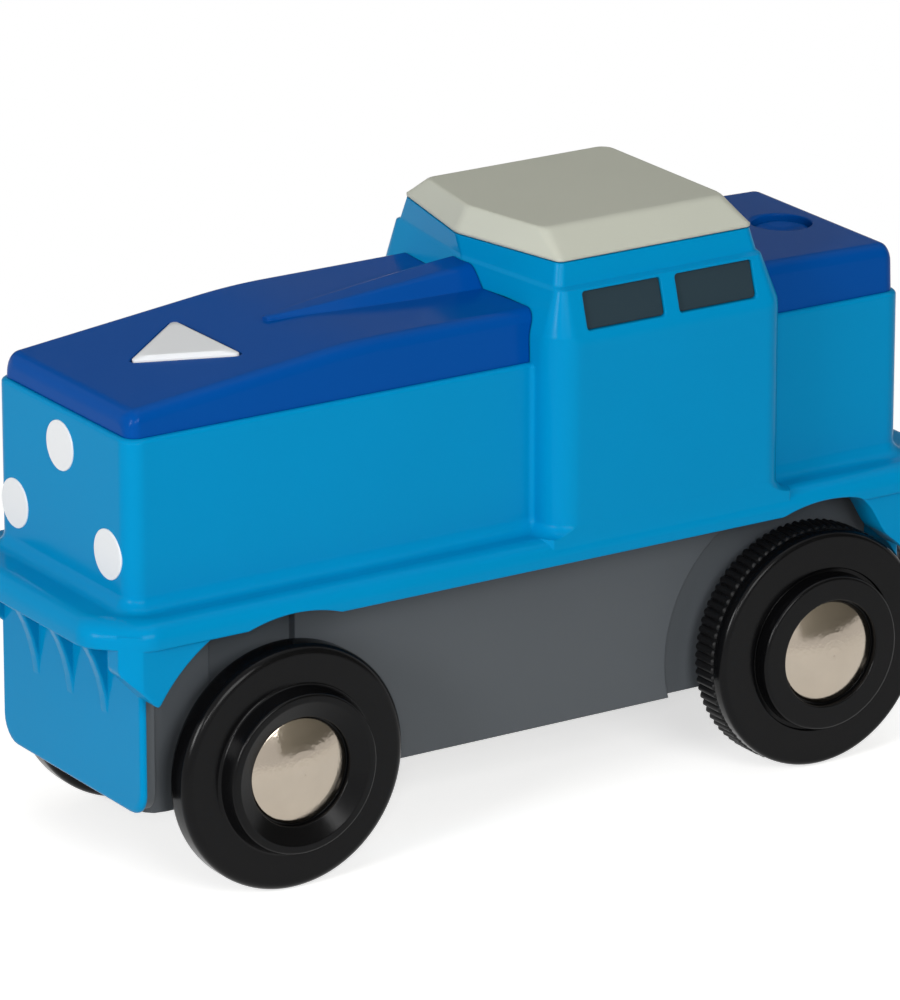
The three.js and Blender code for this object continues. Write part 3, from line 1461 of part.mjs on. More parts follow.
const couplerMagnet = () =>
  cut(
    rodX(magnetX0, magnetX1, 0, 0, COUPLER.magnetRadius, ROUND_STEPS),
    rodX(magnetX0 - OVERRUN, magnetX1 + OVERRUN, 0, 0, COUPLER.rivetRadius + RUN),
  );

// One wire through its points, in the loco's frame
function wire(points) {
  const curve = new THREE.CatmullRomCurve3(points.map((p) => new THREE.Vector3(...p)));
  return tube(curve, WIRE.radius, WIRE.sides, points.length * WIRE.stepsPerPoint);
}

// Ends of the wires: battery tabs, boards and motor
const tabTopZ = bayTopZ + BAY.ceiling + CONTACT.tabRise + WIRE.radius;
const frontTab = [bayFrontX - CONTACT.thickness / 2, 0, tabTopZ];
const rearTab = [bayRearX + CONTACT.thickness / 2, 0, tabTopZ];
const underBoard = (x, y) => {
  const p = new THREE.Vector3(x, y, boardZ - BOARD.thickness - WIRE.radius).applyMatrix4(noseFrame);
  return [p.x, p.y, p.z];
};
const underRearBoard = (x, y) => {
  const p = new THREE.Vector3(x, y, boardZ - BOARD.thickness - WIRE.radius).applyMatrix4(rearFrame);
  return [p.x, p.y, p.z];
};
const motorEnd = (side) => [
  rearAxleX + side * MOTOR.tabX,
  MOTOR.rearY + MOTOR.capLength / 2,
  motorZ + MOTOR.height / 2 + WIRE.radius,
];

// Routes through the hoods and the cab
const wireHighZ = HOOD.seamZ - WIRE.drop;
const wireLowZ = WALKWAY.topZ + WIRE.lift;
const lane = (n) => n * WIRE.lane;
const ROUTES = {
  battery_positive_lead: [
    frontTab,
    [frontTab[0], lane(1), wireLowZ],
    [BUTTON.noseX - WIRE.drop, lane(2), (wireLowZ + wireHighZ) / 2],
    underBoard(FRONT_BOARD.x1 / 2, lane(2)),
  ],
  battery_negative_lead: [
    rearTab,
    [rearTab[0] + WIRE.lift, lane(-2), wireLowZ],
    [0, lane(-2), wireLowZ + WIRE.lift],
    [COVER.kinkX, lane(-2), (wireLowZ + wireHighZ) / 2],
    underBoard(FRONT_BOARD.x0 / 2, lane(-2)),
  ],
  motor_lead_red: [
    motorEnd(1),
    [motorEnd(1)[0] + WIRE.lift, lane(-3), wireHighZ],
    [0, lane(-1), wireHighZ],
    underBoard(FRONT_BOARD.x0 / 2, lane(-1)),
  ],
  motor_lead_black: [
    motorEnd(-1),
    [motorEnd(-1)[0] + WIRE.lift, lane(-1), wireHighZ],
    [0, 0, wireHighZ],
    underBoard(FRONT_BOARD.x0 / 2, 0),
  ],
  stop_switch_lead: [
    underRearBoard(0, lane(2)),
    [rearAxleX, lane(2), wireHighZ],
    [0, lane(1), wireHighZ],
    underBoard(FRONT_BOARD.x0 / 2, lane(1)),
  ],
};
const WIRE_PAINTS = {
  battery_positive_lead: "wireRed",
  battery_negative_lead: "wireBlack",
  motor_lead_red: "wireRed",
  motor_lead_black: "wireBlack",
  stop_switch_lead: "wireYellow",
};

const loco = new THREE.Group();

// Adds one named piece to a group
function add(group, name, shape, paint) {
  const mesh = new THREE.Mesh(geometryOf(shape), MATERIALS[paint]);
  mesh.name = name;
  group.add(mesh);
  return mesh;
}

// A group at a place, inside another
function groupAt(parent, x = 0, y = 0, z = 0) {
  const group = new THREE.Group();
  group.position.set(x, y, z);
  parent.add(group);
  return group;
}

function addBody() {
  add(loco, "body_shell", bodyShell(), "lightBlue");
  add(loco, "front_hood_cover", frontHoodCover(), "darkBlue");
  add(loco, "rear_hood_cover", rearHoodCover(), "darkBlue");
  add(loco, "cab_roof", cabRoof(), "roofGrey");
  add(loco, "left_window_insert", windowInsert(1), "windowGrey");
  add(loco, "right_window_insert", windowInsert(-1), "windowGrey");
}

function addChassis() {
  add(loco, "chassis", chassis(), "chassisGrey");
  add(loco, "gearbox_cover", gearboxCover(), "chassisGrey");
  sumpScrews.forEach(([x, y], i) => {
    const place = groupAt(loco, x, y, CHASSIS.bottomZ - SCREW.head / 2);
    add(place, ["gearbox_screw_rear", "gearbox_screw_front"][i], screw(0, SCREW.length), "steel");
  });
  const bodyScrewPlace = groupAt(loco, BODY_SCREW.x, 0, BODY_SCREW.shoulderZ - SCREW.head);
  add(bodyScrewPlace, "body_screw", screw(0, BODY_SCREW.length), "steel");
  add(loco, "coupler_pin", couplerPin(), "steel");
}

function addBattery() {
  add(loco, "battery_cell", batteryCell(), "cellGold");
  const frontStrip = contactStrip(bayFrontX - CONTACT.thickness, bayFrontX);
  add(loco, "battery_positive_contact", frontStrip, "steel");
  const rearStrip = contactStrip(bayRearX, bayRearX + CONTACT.thickness);
  add(loco, "battery_negative_contact", rearStrip, "steel");
  add(loco, "battery_contact_spring", contactSpring(), "steel");
  add(loco, "battery_door", batteryDoor(), "chassisGrey");
  const place = groupAt(loco, DOOR.earX, DOOR.earY, CHASSIS.bottomZ - SCREW.head / 2);
  add(place, "battery_door_screw", screw(0, SCREW.length), "steel");
}

function addWheelset(end, x, wheel, seatY) {
  const set = groupAt(loco, x, 0, axleZ);
  add(set, end + "_axle", rodY(0, -AXLE.half, AXLE.half, 0, AXLE.radius, ROUND_STEPS), "steel");
  ["left", "right"].forEach((side) => {
    const place = groupAt(set);
    if (side === "right") place.rotation.z = Math.PI;
    add(place, side + "_" + end + "_wheel", wheel(), "wheelBlack");
    add(place, side + "_" + end + "_hub_cap", hubCap(seatY), "nickel");
    if (end === "rear") add(place, side + "_traction_tyre", tractionTyre(), "rubber");
  });
  return set;
}

function addDrive() {
  addWheelset("front", AXLE.frontX, frontWheel, FRONT_WHEEL.seatY);
  const rearSet = addWheelset("rear", rearAxleX, rearWheel, REAR_WHEEL.seatY);
  add(rearSet, "axle_gear", axleGear(), "nylon");
  add(groupAt(loco, rearAxleX, 0, idlerZ), "idler_gear", idlerGear(), "nylon");
  const pin = rodY(0, GEAR_PLATE.innerY, idlerPinEnd, 0, IDLER_PIN);
  add(groupAt(loco, rearAxleX, 0, idlerZ), "idler_pin", pin, "steel");
  add(loco, "gear_frame", gearFrame(), "nylon");
  const motor = groupAt(loco, rearAxleX, 0, motorZ);
  add(motor, "motor_can", motorCan(), "steel");
  add(motor, "motor_end_cap", motorEndCap(), "switchBlack");
  const shaftEnd = narrowY + GEAR.narrow;
  add(motor, "motor_shaft", rodY(0, MOTOR.shaftRearY + SEAM, shaftEnd, 0, MOTOR.shaftRadius), "steel");
  add(motor, "motor_pinion", motorPinion(), "brass");
  ["left", "right"].forEach((side) => {
    const place = groupAt(loco, rearAxleX, 0, axleZ);
    if (side === "right") place.rotation.z = Math.PI;
    add(groupAt(place, 0, wellInnerHalf), side + "_axle_bush", bush(), "brass");
  });
}

function addControls() {
  const front = groupAt(loco, BUTTON.noseX, 0, coverTop(BUTTON.noseX));
  front.rotation.y = noseTilt;
  const rear = groupAt(loco, BUTTON.roundX, 0, coverTop(BUTTON.roundX));
  add(front, "forward_button", forwardButton(), "buttonWhite");
  add(front, "forward_switch_plunger", switchPlunger(), "switchBlack");
  add(front, "forward_switch", switchBody(), "switchBlack");
  add(front, "control_board", controlBoard(), "boardGreen");
  add(rear, "stop_button", stopButton(), "darkBlue");
  add(rear, "stop_switch_plunger", switchPlunger(), "switchBlack");
  add(rear, "stop_switch", switchBody(), "switchBlack");
  add(rear, "stop_switch_board", board(REAR_BOARD, [rearPost]), "boardGreen");
  const headZ = boardZ - BOARD.thickness - SCREW.head;
  const length = -headZ - SCREW.head - COVER.wall - BOSS_WALL;
  frontPosts.forEach(([x, y], i) => {
    add(groupAt(front, x, y, headZ), ["board_screw_left", "board_screw_right"][i], screw(0, length), "steel");
  });
  add(groupAt(rear, ...rearPost, headZ), "board_screw_rear", screw(0, length), "steel");
}

function addCoupler() {
  add(loco, "coupler_arm", couplerArm(), "chassisGrey");
  const magnet = groupAt(loco, 0, 0, COUPLER.height);
  add(magnet, "magnet_rivet", magnetRivet(), "steel");
  add(magnet, "coupler_magnet", couplerMagnet(), "nickel");
}

function addWires() {
  Object.entries(ROUTES).forEach(([name, points]) => add(loco, name, wire(points), WIRE_PAINTS[name]));
}

addBody();
addChassis();
addBattery();
addDrive();
addControls();
addCoupler();
addWires();

export default loco;
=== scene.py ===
"""The toy locomotive as it looks in the photo, built over the CAD frame. Lengths are in millimetres."""

import json
import math

import bmesh
import bpy
from mathutils import Matrix, Vector


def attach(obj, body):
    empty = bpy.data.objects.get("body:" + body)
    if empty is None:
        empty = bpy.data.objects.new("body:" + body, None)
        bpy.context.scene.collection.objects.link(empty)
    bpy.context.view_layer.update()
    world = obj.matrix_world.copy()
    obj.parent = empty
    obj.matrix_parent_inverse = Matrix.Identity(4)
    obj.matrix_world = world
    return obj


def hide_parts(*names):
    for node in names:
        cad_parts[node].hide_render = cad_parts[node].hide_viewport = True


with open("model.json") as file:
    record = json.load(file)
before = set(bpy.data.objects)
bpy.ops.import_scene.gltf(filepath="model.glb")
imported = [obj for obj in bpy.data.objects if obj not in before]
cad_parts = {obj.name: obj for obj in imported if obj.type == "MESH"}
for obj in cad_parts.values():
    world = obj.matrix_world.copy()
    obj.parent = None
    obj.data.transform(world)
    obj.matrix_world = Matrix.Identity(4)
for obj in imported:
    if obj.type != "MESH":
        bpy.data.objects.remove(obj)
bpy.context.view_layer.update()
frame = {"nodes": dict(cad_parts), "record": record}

MM = 0.001
OVER = 2.0  # how far a cutting tool passes the face that it cuts
SEAM = 0.1
GAP = 0.2  # between the hoods' walls and what stands inside them
BEYOND = 20.0  # a place across that lies outside every side
NODES = frame["nodes"]
RECORD = frame["record"]
SLOT_OF = {part["node"]: part["material_slot"] for part in RECORD["subparts"]}
BODY_OF = {node: body for body, nodes in RECORD["behaviour"]["bodies"].items() for node in nodes}

# Sizes of the outside, in the CAD frame
WALK = dict(x0=-43.6, x1=51.198, half=15.85, z0=25.95, z1=28.5, cut=4.2, radius=3.6, edge=1.7)
HOOD = dict(x0=-38.75, x1=46.5, half=12.0, seam=44.6, radius=1.8, wall=1.4)
COVER = dict(step=0.5, draft=0.2, nose=46.9, kink=22.1, level=49.55, rear=49.15, edge=1.3, wall=1.4, soft=3.6)
CAB = dict(half=15.7, front=3.2, apex=3.4, rear=-22.6, wall=1.5, lean=1.4, sill=47.1, head=51.75, eaves=54.1)
HEADER = dict(z=52.0, half=13.65, front=1.7, rear=-20.85, radius=0.9)
HEAD_HALF = CAB["half"] - CAB["lean"]
ROOF_Z = 56.698
ROOF_WELL = dict(x0=-18.9, x1=-0.3, half=11.65)
SKIRT = dict(front=45.9, rear=-38.3, wall=1.4, thin=0.6, half=12.65, z0=8.8, radius=2.2, top=27.35)
FIN = dict(z0=17.0, bow_z=22.0, z1=25.2, bow=0.5, reach=2.9, half=0.65, pitch=6.2, root=0.5, edge=0.25)
BRACKET = dict(y0=11.9, y1=15.45, z0=20.3, nose_z=23.7, nose=3.0, tip=0.2, edge=0.3, clear=16.6)
ARCH = dict(radius=15.1, steps=144, closing=103, over=24, last=120, close=2.6)
FRONT_EDGE = dict(x0=44.3, half=12.4, z0=8.95, z1=25.8, radius=2.2)
CHASSIS_HALF = 9.7  # half of the opening in the walkway that the chassis fills
COUPLING_SLOT = dict(half=5.4, top=18.0)
BOSS = dict(x=41.0, radius=2.2, bore=0.82, top=34.95, bore_top=33.75, rib=0.6)
HOOK = dict(y0=4.6, y1=8.2, z0=27.65, z1=29.25, deep=0.8)
DISC = dict(radius=2.36, sunk=0.2, proud=0.14, edge=0.06)
DISC_PLACES = ((0.0, 41.1), (8.3, 33.1), (-8.45, 33.2))
AXLE_Z = 11.74
AXLES = dict(front=31.4, rear=-27.5)
WINDOW = dict(x=-0.45, pillar=1.55, width=8.7, z0=47.95, z1=51.5, radius=0.35)
PANE = dict(thick=1.0, sunk=0.5, flange=0.3, recess=0.25, gap=0.1)
TONGUE = dict(drop=1.8, rise=1.4, wall=1.0)


# Shapes
def rounded(corners, steps=8):
    """The points of a closed outline whose corners (across, up, radius) become true arcs."""
    points = []
    count = len(corners)
    for i, (x, y, radius) in enumerate(corners):
        here = Vector((x, y))
        before = (Vector(corners[i - 1][:2]) - here).normalized()
        after = (Vector(corners[(i + 1) % count][:2]) - here).normalized()
        angle = before.angle(after)
        if math.sin(angle) < 0.002:
            points += [here] * (steps + 1)
            continue
        radius = max(radius, 0.02)
        reach = radius / math.tan(angle / 2)
        centre = here + (before + after).normalized() * (radius / math.sin(angle / 2))
        a = here + before * reach - centre
        b = here + after * reach - centre
        start = math.atan2(a.y, a.x)
        sweep = (math.atan2(b.y, b.x) - start + math.pi) % (2 * math.pi) - math.pi
        for k in range(steps + 1):
            turn = start + sweep * k / steps
            points.append(centre + Vector((math.cos(turn), math.sin(turn))) * radius)
    return points


def turning(corners):
    """The corners counter-clockwise."""
    area = 0
    for i, (x, y, _) in enumerate(corners):
        area += corners[i - 1][0] * y - x * corners[i - 1][1]
    return list(corners) if area > 0 else list(reversed(corners))


def grown(corners, amount):
    """A counter-clockwise outline moved outwards, its corner radii with it."""
    result = []
    count = len(corners)
    for i, (x, y, radius) in enumerate(corners):
        into = (Vector((x, y)) - Vector(corners[i - 1][:2])).normalized()
        out = (Vector(corners[(i + 1) % count][:2]) - Vector((x, y))).normalized()
        n0 = Vector((into.y, -into.x))
        n1 = Vector((out.y, -out.x))
        shift = (n0 + n1) * (amount / (1 + n0.dot(n1)))
        bend = into.x * out.y - into.y * out.x
        result.append((x + shift.x, y + shift.y, max(radius + math.copysign(amount, bend), 0.03)))
    return result


def solid(points, faces):
    """A closed mesh from points in millimetres, with its faces turned outwards."""
    mesh = bpy.data.meshes.new("solid")
    mesh.from_pydata([tuple(p) for p in points], [], faces)
    bm = bmesh.new()
    bm.from_mesh(mesh)
    bmesh.ops.remove_doubles(bm, verts=bm.verts, dist=0.0005)
    bmesh.ops.dissolve_degenerate(bm, edges=bm.edges, dist=0.0002)
    bmesh.ops.recalc_face_normals(bm, faces=bm.faces)
    if bm.calc_volume(signed=True) < 0:
        bmesh.ops.reverse_faces(bm, faces=bm.faces)
    bm.to_mesh(mesh)
    bm.free()
    return mesh


def loft(rings):
    """A closed skin through rings with equal counts, flat at both ends."""
    count = len(rings[0])
    faces = [list(range(count))]
    for level in range(len(rings) - 1):
        for i in range(count):
            a = level * count + i
            b = level * count + (i + 1) % count
            faces.append([a, b, b + count, a + count])
    faces.append([(len(rings) - 1) * count + i for i in range(count)])
    return solid([p for ring in rings for p in ring], faces)


def at(axis, point, along):
    a, b = point
    return {"x": (along, a, b), "y": (a, along, b), "z": (a, b, along)}[axis]


def quarter(radius, steps=5):
    """Insets and depths of a rounded edge, from the end face back to the side."""
    turns = [math.pi / 2 * k / steps for k in range(steps + 1)]
    return [(radius * (1 - math.sin(t)), radius * (1 - math.cos(t))) for t in turns]


def prism(corners, low, high, axis, low_round=0.0, high_round=0.0, steps=6):
    """An outline pushed along an axis, with its end edges rounded."""
    corners = turning(corners)
    levels = [(i, low + d) for i, d in quarter(low_round)] if low_round else [(0, low)]
    ends = [(i, high - d) for i, d in quarter(high_round)] if high_round else [(0, high)]
    levels += list(reversed(ends))
    return loft([[at(axis, p, t) for p in rounded(grown(corners, -i), steps)] for i, t in levels])


def box(x0, x1, y0, y1, z0, z1):
    return prism([(x0, y0, 0), (x1, y0, 0), (x1, y1, 0), (x0, y1, 0)], z0, z1, "z", steps=1)


def rod(centre, radius, low, high, axis, edge=0.0, steps=48):
    """A round bar whose ends have rounded edges."""
    levels = [(radius - i, low + d) for i, d in quarter(edge, 3)] if edge else [(radius, low)]
    ends = [(radius - i, high - d) for i, d in quarter(edge, 3)] if edge else [(radius, high)]
    levels += list(reversed(ends))
    turns = [2 * math.pi * k / steps for k in range(steps)]
    rings = []
    for r, t in levels:
        rings.append([at(axis, (centre[0] + r * math.cos(a), centre[1] + r * math.sin(a)), t) for a in turns])
    return loft(rings)


def lathe(corners, x, z, side=1, steps=128, arc=5):
    """A closed profile of (radius, y, corner radius) turned round a crosswise axis."""
    profile = rounded(turning(corners), arc)
    count = len(profile)
    points = []
    for k in range(steps):
        turn = 2 * math.pi * k / steps
        points += [(x + p.x * math.cos(turn), side * p.y, z + p.x * math.sin(turn)) for p in profile]
    faces = []
    for k in range(steps):
        for i in range(count):
            a = k * count + i
            b = k * count + (i + 1) % count
            c = (k + 1) % steps * count
            faces.append([a, b, c + (i + 1) % count, c + i])
    return solid(points, faces)


def combine(operation, base, *tools):
    """Joins tools to a mesh, cuts them from it, or keeps what they share."""
    objects = [bpy.data.objects.new("work", mesh) for mesh in (base, *tools)]
    for obj in objects:
        bpy.context.scene.collection.objects.link(obj)
    for tool in objects[1:]:
        step = objects[0].modifiers.new("step", "BOOLEAN")
        step.operation = operation
        step.solver = "MANIFOLD"
        step.object = tool
    evaluated = objects[0].evaluated_get(bpy.context.evaluated_depsgraph_get())
    result = bpy.data.meshes.new_from_object(evaluated)
    for obj in objects:
        bpy.data.objects.remove(obj)
    return result


def join(base, *tools):
    return combine("UNION", base, *tools)


def cut(base, *tools):
    return combine("DIFFERENCE", base, *tools)


def common(base, tool):
    return combine("INTERSECT", base, tool)


def moved(mesh, matrix):
    mesh.transform(matrix)
    return mesh


# Finishes
def linear(rgb):
    values = [c / 255 for c in rgb]
    return [c / 12.92 if c <= 0.04045 else ((c + 0.055) / 1.055) ** 2.4 for c in values]


def finish(name, rgb, rough, metal=0.0, shine=0.5, vary=0.05, grain=0.03, scale=900.0, bump=0.02, edge=0.12):
    """A procedural finish: slight cloudiness in colour and sheen, a fine grain and softened edges."""
    material = bpy.data.materials.new(name)
    material.use_nodes = True
    nodes = material.node_tree.nodes
    links = material.node_tree.links
    shader = nodes["Principled BSDF"]
    place = nodes.new("ShaderNodeTexCoord")
    cloud = nodes.new("ShaderNodeTexNoise")
    cloud.inputs["Scale"].default_value = scale / 10
    cloud.inputs["Detail"].default_value = 3
    links.new(place.outputs["Object"], cloud.inputs["Vector"])
    colour = nodes.new("ShaderNodeMix")
    colour.data_type = "RGBA"
    base = linear(rgb)
    colour.inputs["A"].default_value = [c * (1 - vary) for c in base] + [1]
    colour.inputs["B"].default_value = [min(c * (1 + vary), 1) for c in base] + [1]
    links.new(cloud.outputs["Fac"], colour.inputs["Factor"])
    links.new(colour.outputs["Result"], shader.inputs["Base Color"])
    sheen = nodes.new("ShaderNodeMapRange")
    sheen.inputs["To Min"].default_value = max(rough - grain, 0.02)
    sheen.inputs["To Max"].default_value = rough + grain
    links.new(cloud.outputs["Fac"], sheen.inputs["Value"])
    links.new(sheen.outputs["Result"], shader.inputs["Roughness"])
    shader.inputs["Metallic"].default_value = metal
    shader.inputs["Specular IOR Level"].default_value = shine
    fine = nodes.new("ShaderNodeTexNoise")
    fine.inputs["Scale"].default_value = scale
    links.new(place.outputs["Object"], fine.inputs["Vector"])
    soft = nodes.new("ShaderNodeBevel")
    soft.samples = 6
    soft.inputs["Radius"].default_value = edge * MM
    relief = nodes.new("ShaderNodeBump")
    relief.inputs["Strength"].default_value = bump
    relief.inputs["Distance"].default_value = 0.0002
    links.new(fine.outputs["Fac"], relief.inputs["Height"])
    links.new(soft.outputs["Normal"], relief.inputs["Normal"])
    links.new(relief.outputs["Normal"], shader.inputs["Normal"])
    return material


FINISHES = {
    "light_blue": finish("light_blue", (0, 131, 183), 0.17, shine=0.04, vary=0.03, edge=0.2),
    "dark_blue": finish("dark_blue", (0, 70, 146), 0.17, shine=0.04, vary=0.03, edge=0.2),
    "roof_grey": finish("roof_grey", (184, 186, 173), 0.32, shine=0.15, vary=0.03, edge=0.45),
    "window_grey": finish("window_grey", (40, 55, 63), 0.35, shine=0.1, edge=0.1),
    "chassis_grey": finish("chassis_grey", (82, 86, 90), 0.45, shine=0.15, bump=0.08, edge=0.2),
    "wheel_black": finish("wheel_black", (8, 8, 9), 0.2, shine=0.12, edge=0.1),
    "tyre_rubber": finish("tyre_rubber", (12, 12, 13), 0.45, shine=0.2, bump=0.15, edge=0.08),
    "nickel": finish("nickel", (172, 161, 147), 0.15, metal=1.0, vary=0.12, grain=0.06, scale=2500.0,
                     bump=0.05, edge=0.1),
    "steel": finish("steel", (184, 186, 189), 0.28, metal=1.0, edge=0.05),
    "brass": finish("brass", (201, 162, 74), 0.3, metal=1.0, edge=0.05),
    "button_white": finish("button_white", (222, 224, 226), 0.3, shine=0.2, vary=0.01, edge=0.1),
    "nylon": finish("nylon", (232, 230, 218), 0.45, edge=0.05),
    "board_green": finish("board_green", (31, 107, 58), 0.4, edge=0.05),
    "switch_black": finish("switch_black", (32, 33, 36), 0.45, edge=0.05),
    "cell_jacket": finish("cell_jacket", (185, 138, 58), 0.3, metal=0.5, edge=0.1),
    "wire_red": finish("wire_red", (179, 32, 42), 0.45, edge=0.05),
    "wire_black": finish("wire_black", (28, 28, 30), 0.45, edge=0.05),
    "wire_yellow": finish("wire_yellow", (216, 182, 42), 0.45, edge=0.05),
}


def piece(name, mesh, body, slot, *nodes, sharp=32):
    """Puts a mesh in millimetres into the scene as a finished piece that stands for CAD nodes."""
    mesh.transform(Matrix.Scale(MM, 4))
    mesh.name = name
    mesh.shade_smooth()
    mesh.set_sharp_from_angle(angle=math.radians(sharp))
    mesh.materials.clear()
    mesh.materials.append(FINISHES[slot])
    obj = bpy.data.objects.new(name, mesh)
    bpy.context.scene.collection.objects.link(obj)
    weigh = obj.modifiers.new("normals", "WEIGHTED_NORMAL")
    weigh.keep_sharp = True
    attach(obj, body)
    if nodes:
        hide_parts(*nodes)
    return obj


def stand_for(node, mesh, sharp=32):
    return piece(node + "_visual", mesh, BODY_OF[node], SLOT_OF[node], node, sharp=sharp)


def softened(node, width, sharp=32):
    """A CAD node's own shape with its edges bevelled."""
    mesh = NODES[node].data.copy()
    mesh.transform(Matrix.Scale(1 / MM, 4))
    bm = bmesh.new()
    bm.from_mesh(mesh)
    bmesh.ops.remove_doubles(bm, verts=bm.verts, dist=0.0005)
    bmesh.ops.dissolve_limit(bm, angle_limit=0.01, verts=bm.verts, edges=bm.edges)
    bm.to_mesh(mesh)
    bm.free()
    obj = bpy.data.objects.new("work", mesh)
    bpy.context.scene.collection.objects.link(obj)
    bevel = obj.modifiers.new("bevel", "BEVEL")
    bevel.width = width
    bevel.segments = 2
    bevel.limit_method = "ANGLE"
    bevel.angle_limit = math.radians(40)
    result = bpy.data.meshes.new_from_object(obj.evaluated_get(bpy.context.evaluated_depsgraph_get()))
    bpy.data.objects.remove(obj)
    return stand_for(node, result, sharp)


# Body
def walkway_outline(inset=0.0):
    c = WALK["cut"]
    r = WALK["radius"] - inset
    x0, x1 = WALK["x0"] + inset, WALK["x1"] - inset
    h = WALK["half"] - inset
    return [(x0, -h + c, r), (x0 + c, -h, r), (x1 - c, -h, r), (x1, -h + c, r),
            (x1, h - c, r), (x1 - c, h, r), (x0 + c, h, r), (x0, h - c, r)]


def walkway():
    levels = [(i, WALK["z0"] + d) for i, d in quarter(0.15, 3)]
    levels += [(i, WALK["z1"] - d) for i, d in reversed(quarter(WALK["edge"], 8))]
    return loft([[(p.x, p.y, z) for p in rounded(walkway_outline(i), 6)] for i, z in levels])


def lower_outline():
    """The plan of the hoods and the cab together, with fillets where they meet."""
    near = 0.02
    hood, cab = HOOD["half"], CAB["half"] - near
    front, rear = CAB["front"] - near, CAB["rear"] + near
    left = [(HOOD["x1"], hood, HOOD["radius"]), (front, hood, 0.6), (front, cab, 3.0),
            (rear, cab, 2.1), (rear, hood, 1.3), (HOOD["x0"], hood, HOOD["radius"])]
    return left + [(x, -y, r) for x, y, r in reversed(left)]


def lower_block():
    foot, top = 1.4, 0.4
    levels = [(foot, WALK["z1"] - 1.5)]
    levels += [(i, WALK["z1"] + d) for i, d in quarter(foot, 8)]
    levels += [(-i, HOOD["seam"] - d) for i, d in reversed(quarter(top, 4))]
    rings = [[(p.x, p.y, z) for p in rounded(grown(turning(lower_outline()), g), 8)] for g, z in levels]
    plan = prism(walkway_outline(0.13), WALK["z0"], CAB["eaves"] + OVER, "z")
    return common(loft(rings), plan)


def cab_outline(z, grow=0.0):
    """The cab's plan at a height: straight below, leaning in at the windows, then a header."""
    soft = 0.5
    rise = z - CAB["sill"]
    if z <= CAB["head"]:
        lean = 0.0 if rise < -soft else (rise + soft) ** 2 / (4 * soft) if rise < soft else rise
        s = lean / (CAB["head"] - CAB["sill"])
        half, front, rear = CAB["half"] - CAB["lean"] * s, CAB["front"] - 1.35 * s, CAB["rear"] + 1.6 * s
        apex, r, rr = CAB["apex"], max(1.2, 3.0 - 5.0 * s), max(1.0, 2.1 - 3.0 * s)
    else:
        s = min((z - HEADER["z"]) / (CAB["eaves"] - HEADER["z"]), 1)
        half, front, rear = HEADER["half"] - 0.5 * s, HEADER["front"] - 0.5 * s, HEADER["rear"] + 0.45 * s
        apex, r, rr = CAB["apex"] + 0.6 * s, HEADER["radius"], HEADER["radius"]
    g = grow
    return [(rear - g, -half - g, rr), (front + g, -half - g, r), (apex + g, 0, 1.5),
            (front + g, half + g, r), (rear - g, half + g, rr)]


def cab_block(grow=0.0, low=26.6):
    heights = [low, 46.6, 46.8, 47.0, 47.2, 47.4, 47.6, CAB["head"] - 0.15, CAB["head"]]
    heights += [HEADER["z"], HEADER["z"] + 0.15, CAB["eaves"]]
    return loft([[(p.x, p.y, z) for p in rounded(cab_outline(z, grow), 8)] for z in heights])


def fin_side(x, way):
    """A fin seen from the side: a bowed edge from the plate out to the walkway."""
    root = x - way * FIN["root"]
    side = [(root, SKIRT["top"], 0), (root, FIN["z0"], 0)]
    for t in (0.0, 0.2, 0.4, 0.6, 0.8, 1.0):
        out = 2 * t * (1 - t) * FIN["bow"] + t * t * FIN["reach"]
        z = (1 - t) ** 2 * FIN["z0"] + 2 * t * (1 - t) * FIN["bow_z"] + t * t * FIN["z1"]
        side.append((x + way * out, z, 0.4))
    return side + [(x + way * FIN["reach"], SKIRT["top"], 0)]


def bracket_side(x, way):
    hip, tip, nose = x - way * ARCH["radius"], x - way * BRACKET["tip"], x + way * BRACKET["nose"]
    return [(hip, SKIRT["top"], 0), (hip, BRACKET["z0"], 0.02), (tip, BRACKET["z0"], 1.1),
            (nose, BRACKET["nose_z"], 1.0), (nose, SKIRT["top"], 0)]


def skirt(x, way):
    """The plate below one end of the walkway, its fins and its brackets; way is 1 at the front."""
    half, low, top, r = SKIRT["half"], SKIRT["z0"], SKIRT["top"], SKIRT["radius"]
    back = x - way * (SKIRT["thin"] if way > 0 else SKIRT["wall"])
    edges = (0.05, 0.4) if way > 0 else (0.4, 0.15)
    plate = [(-half, low, r), (half, low, r), (half, top, 0), (-half, top, 0)]
    parts = [prism(plate, min(x, back), max(x, back), "x", *edges)]
    for y in (-FIN["pitch"], 0.0, FIN["pitch"]):
        parts.append(prism(fin_side(x, way), y - FIN["half"], y + FIN["half"], "y", FIN["edge"], FIN["edge"]))
    plan = prism(walkway_outline(0.02), low, top + OVER, "z")
    for ends in ((BRACKET["y0"], BRACKET["y1"]), (-BRACKET["y1"], -BRACKET["y0"])):
        arm = common(prism(bracket_side(x, way), *ends, "y", BRACKET["edge"], BRACKET["edge"]), plan)
        if way > 0:
            clear = rod((AXLES["front"], AXLE_Z), BRACKET["clear"], -BEYOND, BEYOND, "y", steps=160)
            arm = cut(arm, clear)
        parts.append(arm)
    return join(*parts)


def wheel_arch(end):
    """What the wheels of one axle need free; the rear one closes in towards its wheel behind."""
    edge = []
    for k in range(ARCH["steps"]):
        turn = 2 * math.pi * k / ARCH["steps"]
        share = 0
        if end == "rear" and k < ARCH["last"]:
            share = min(max((math.degrees(turn) - ARCH["closing"]) / ARCH["over"], 0), 1)
        reach = ARCH["radius"] - ARCH["close"] * share * share * (3 - 2 * share)
        edge.append((AXLES[end] + reach * math.cos(turn), AXLE_Z + reach * math.sin(turn), 0))
    return prism(edge, -BEYOND, BEYOND, "y", steps=1)


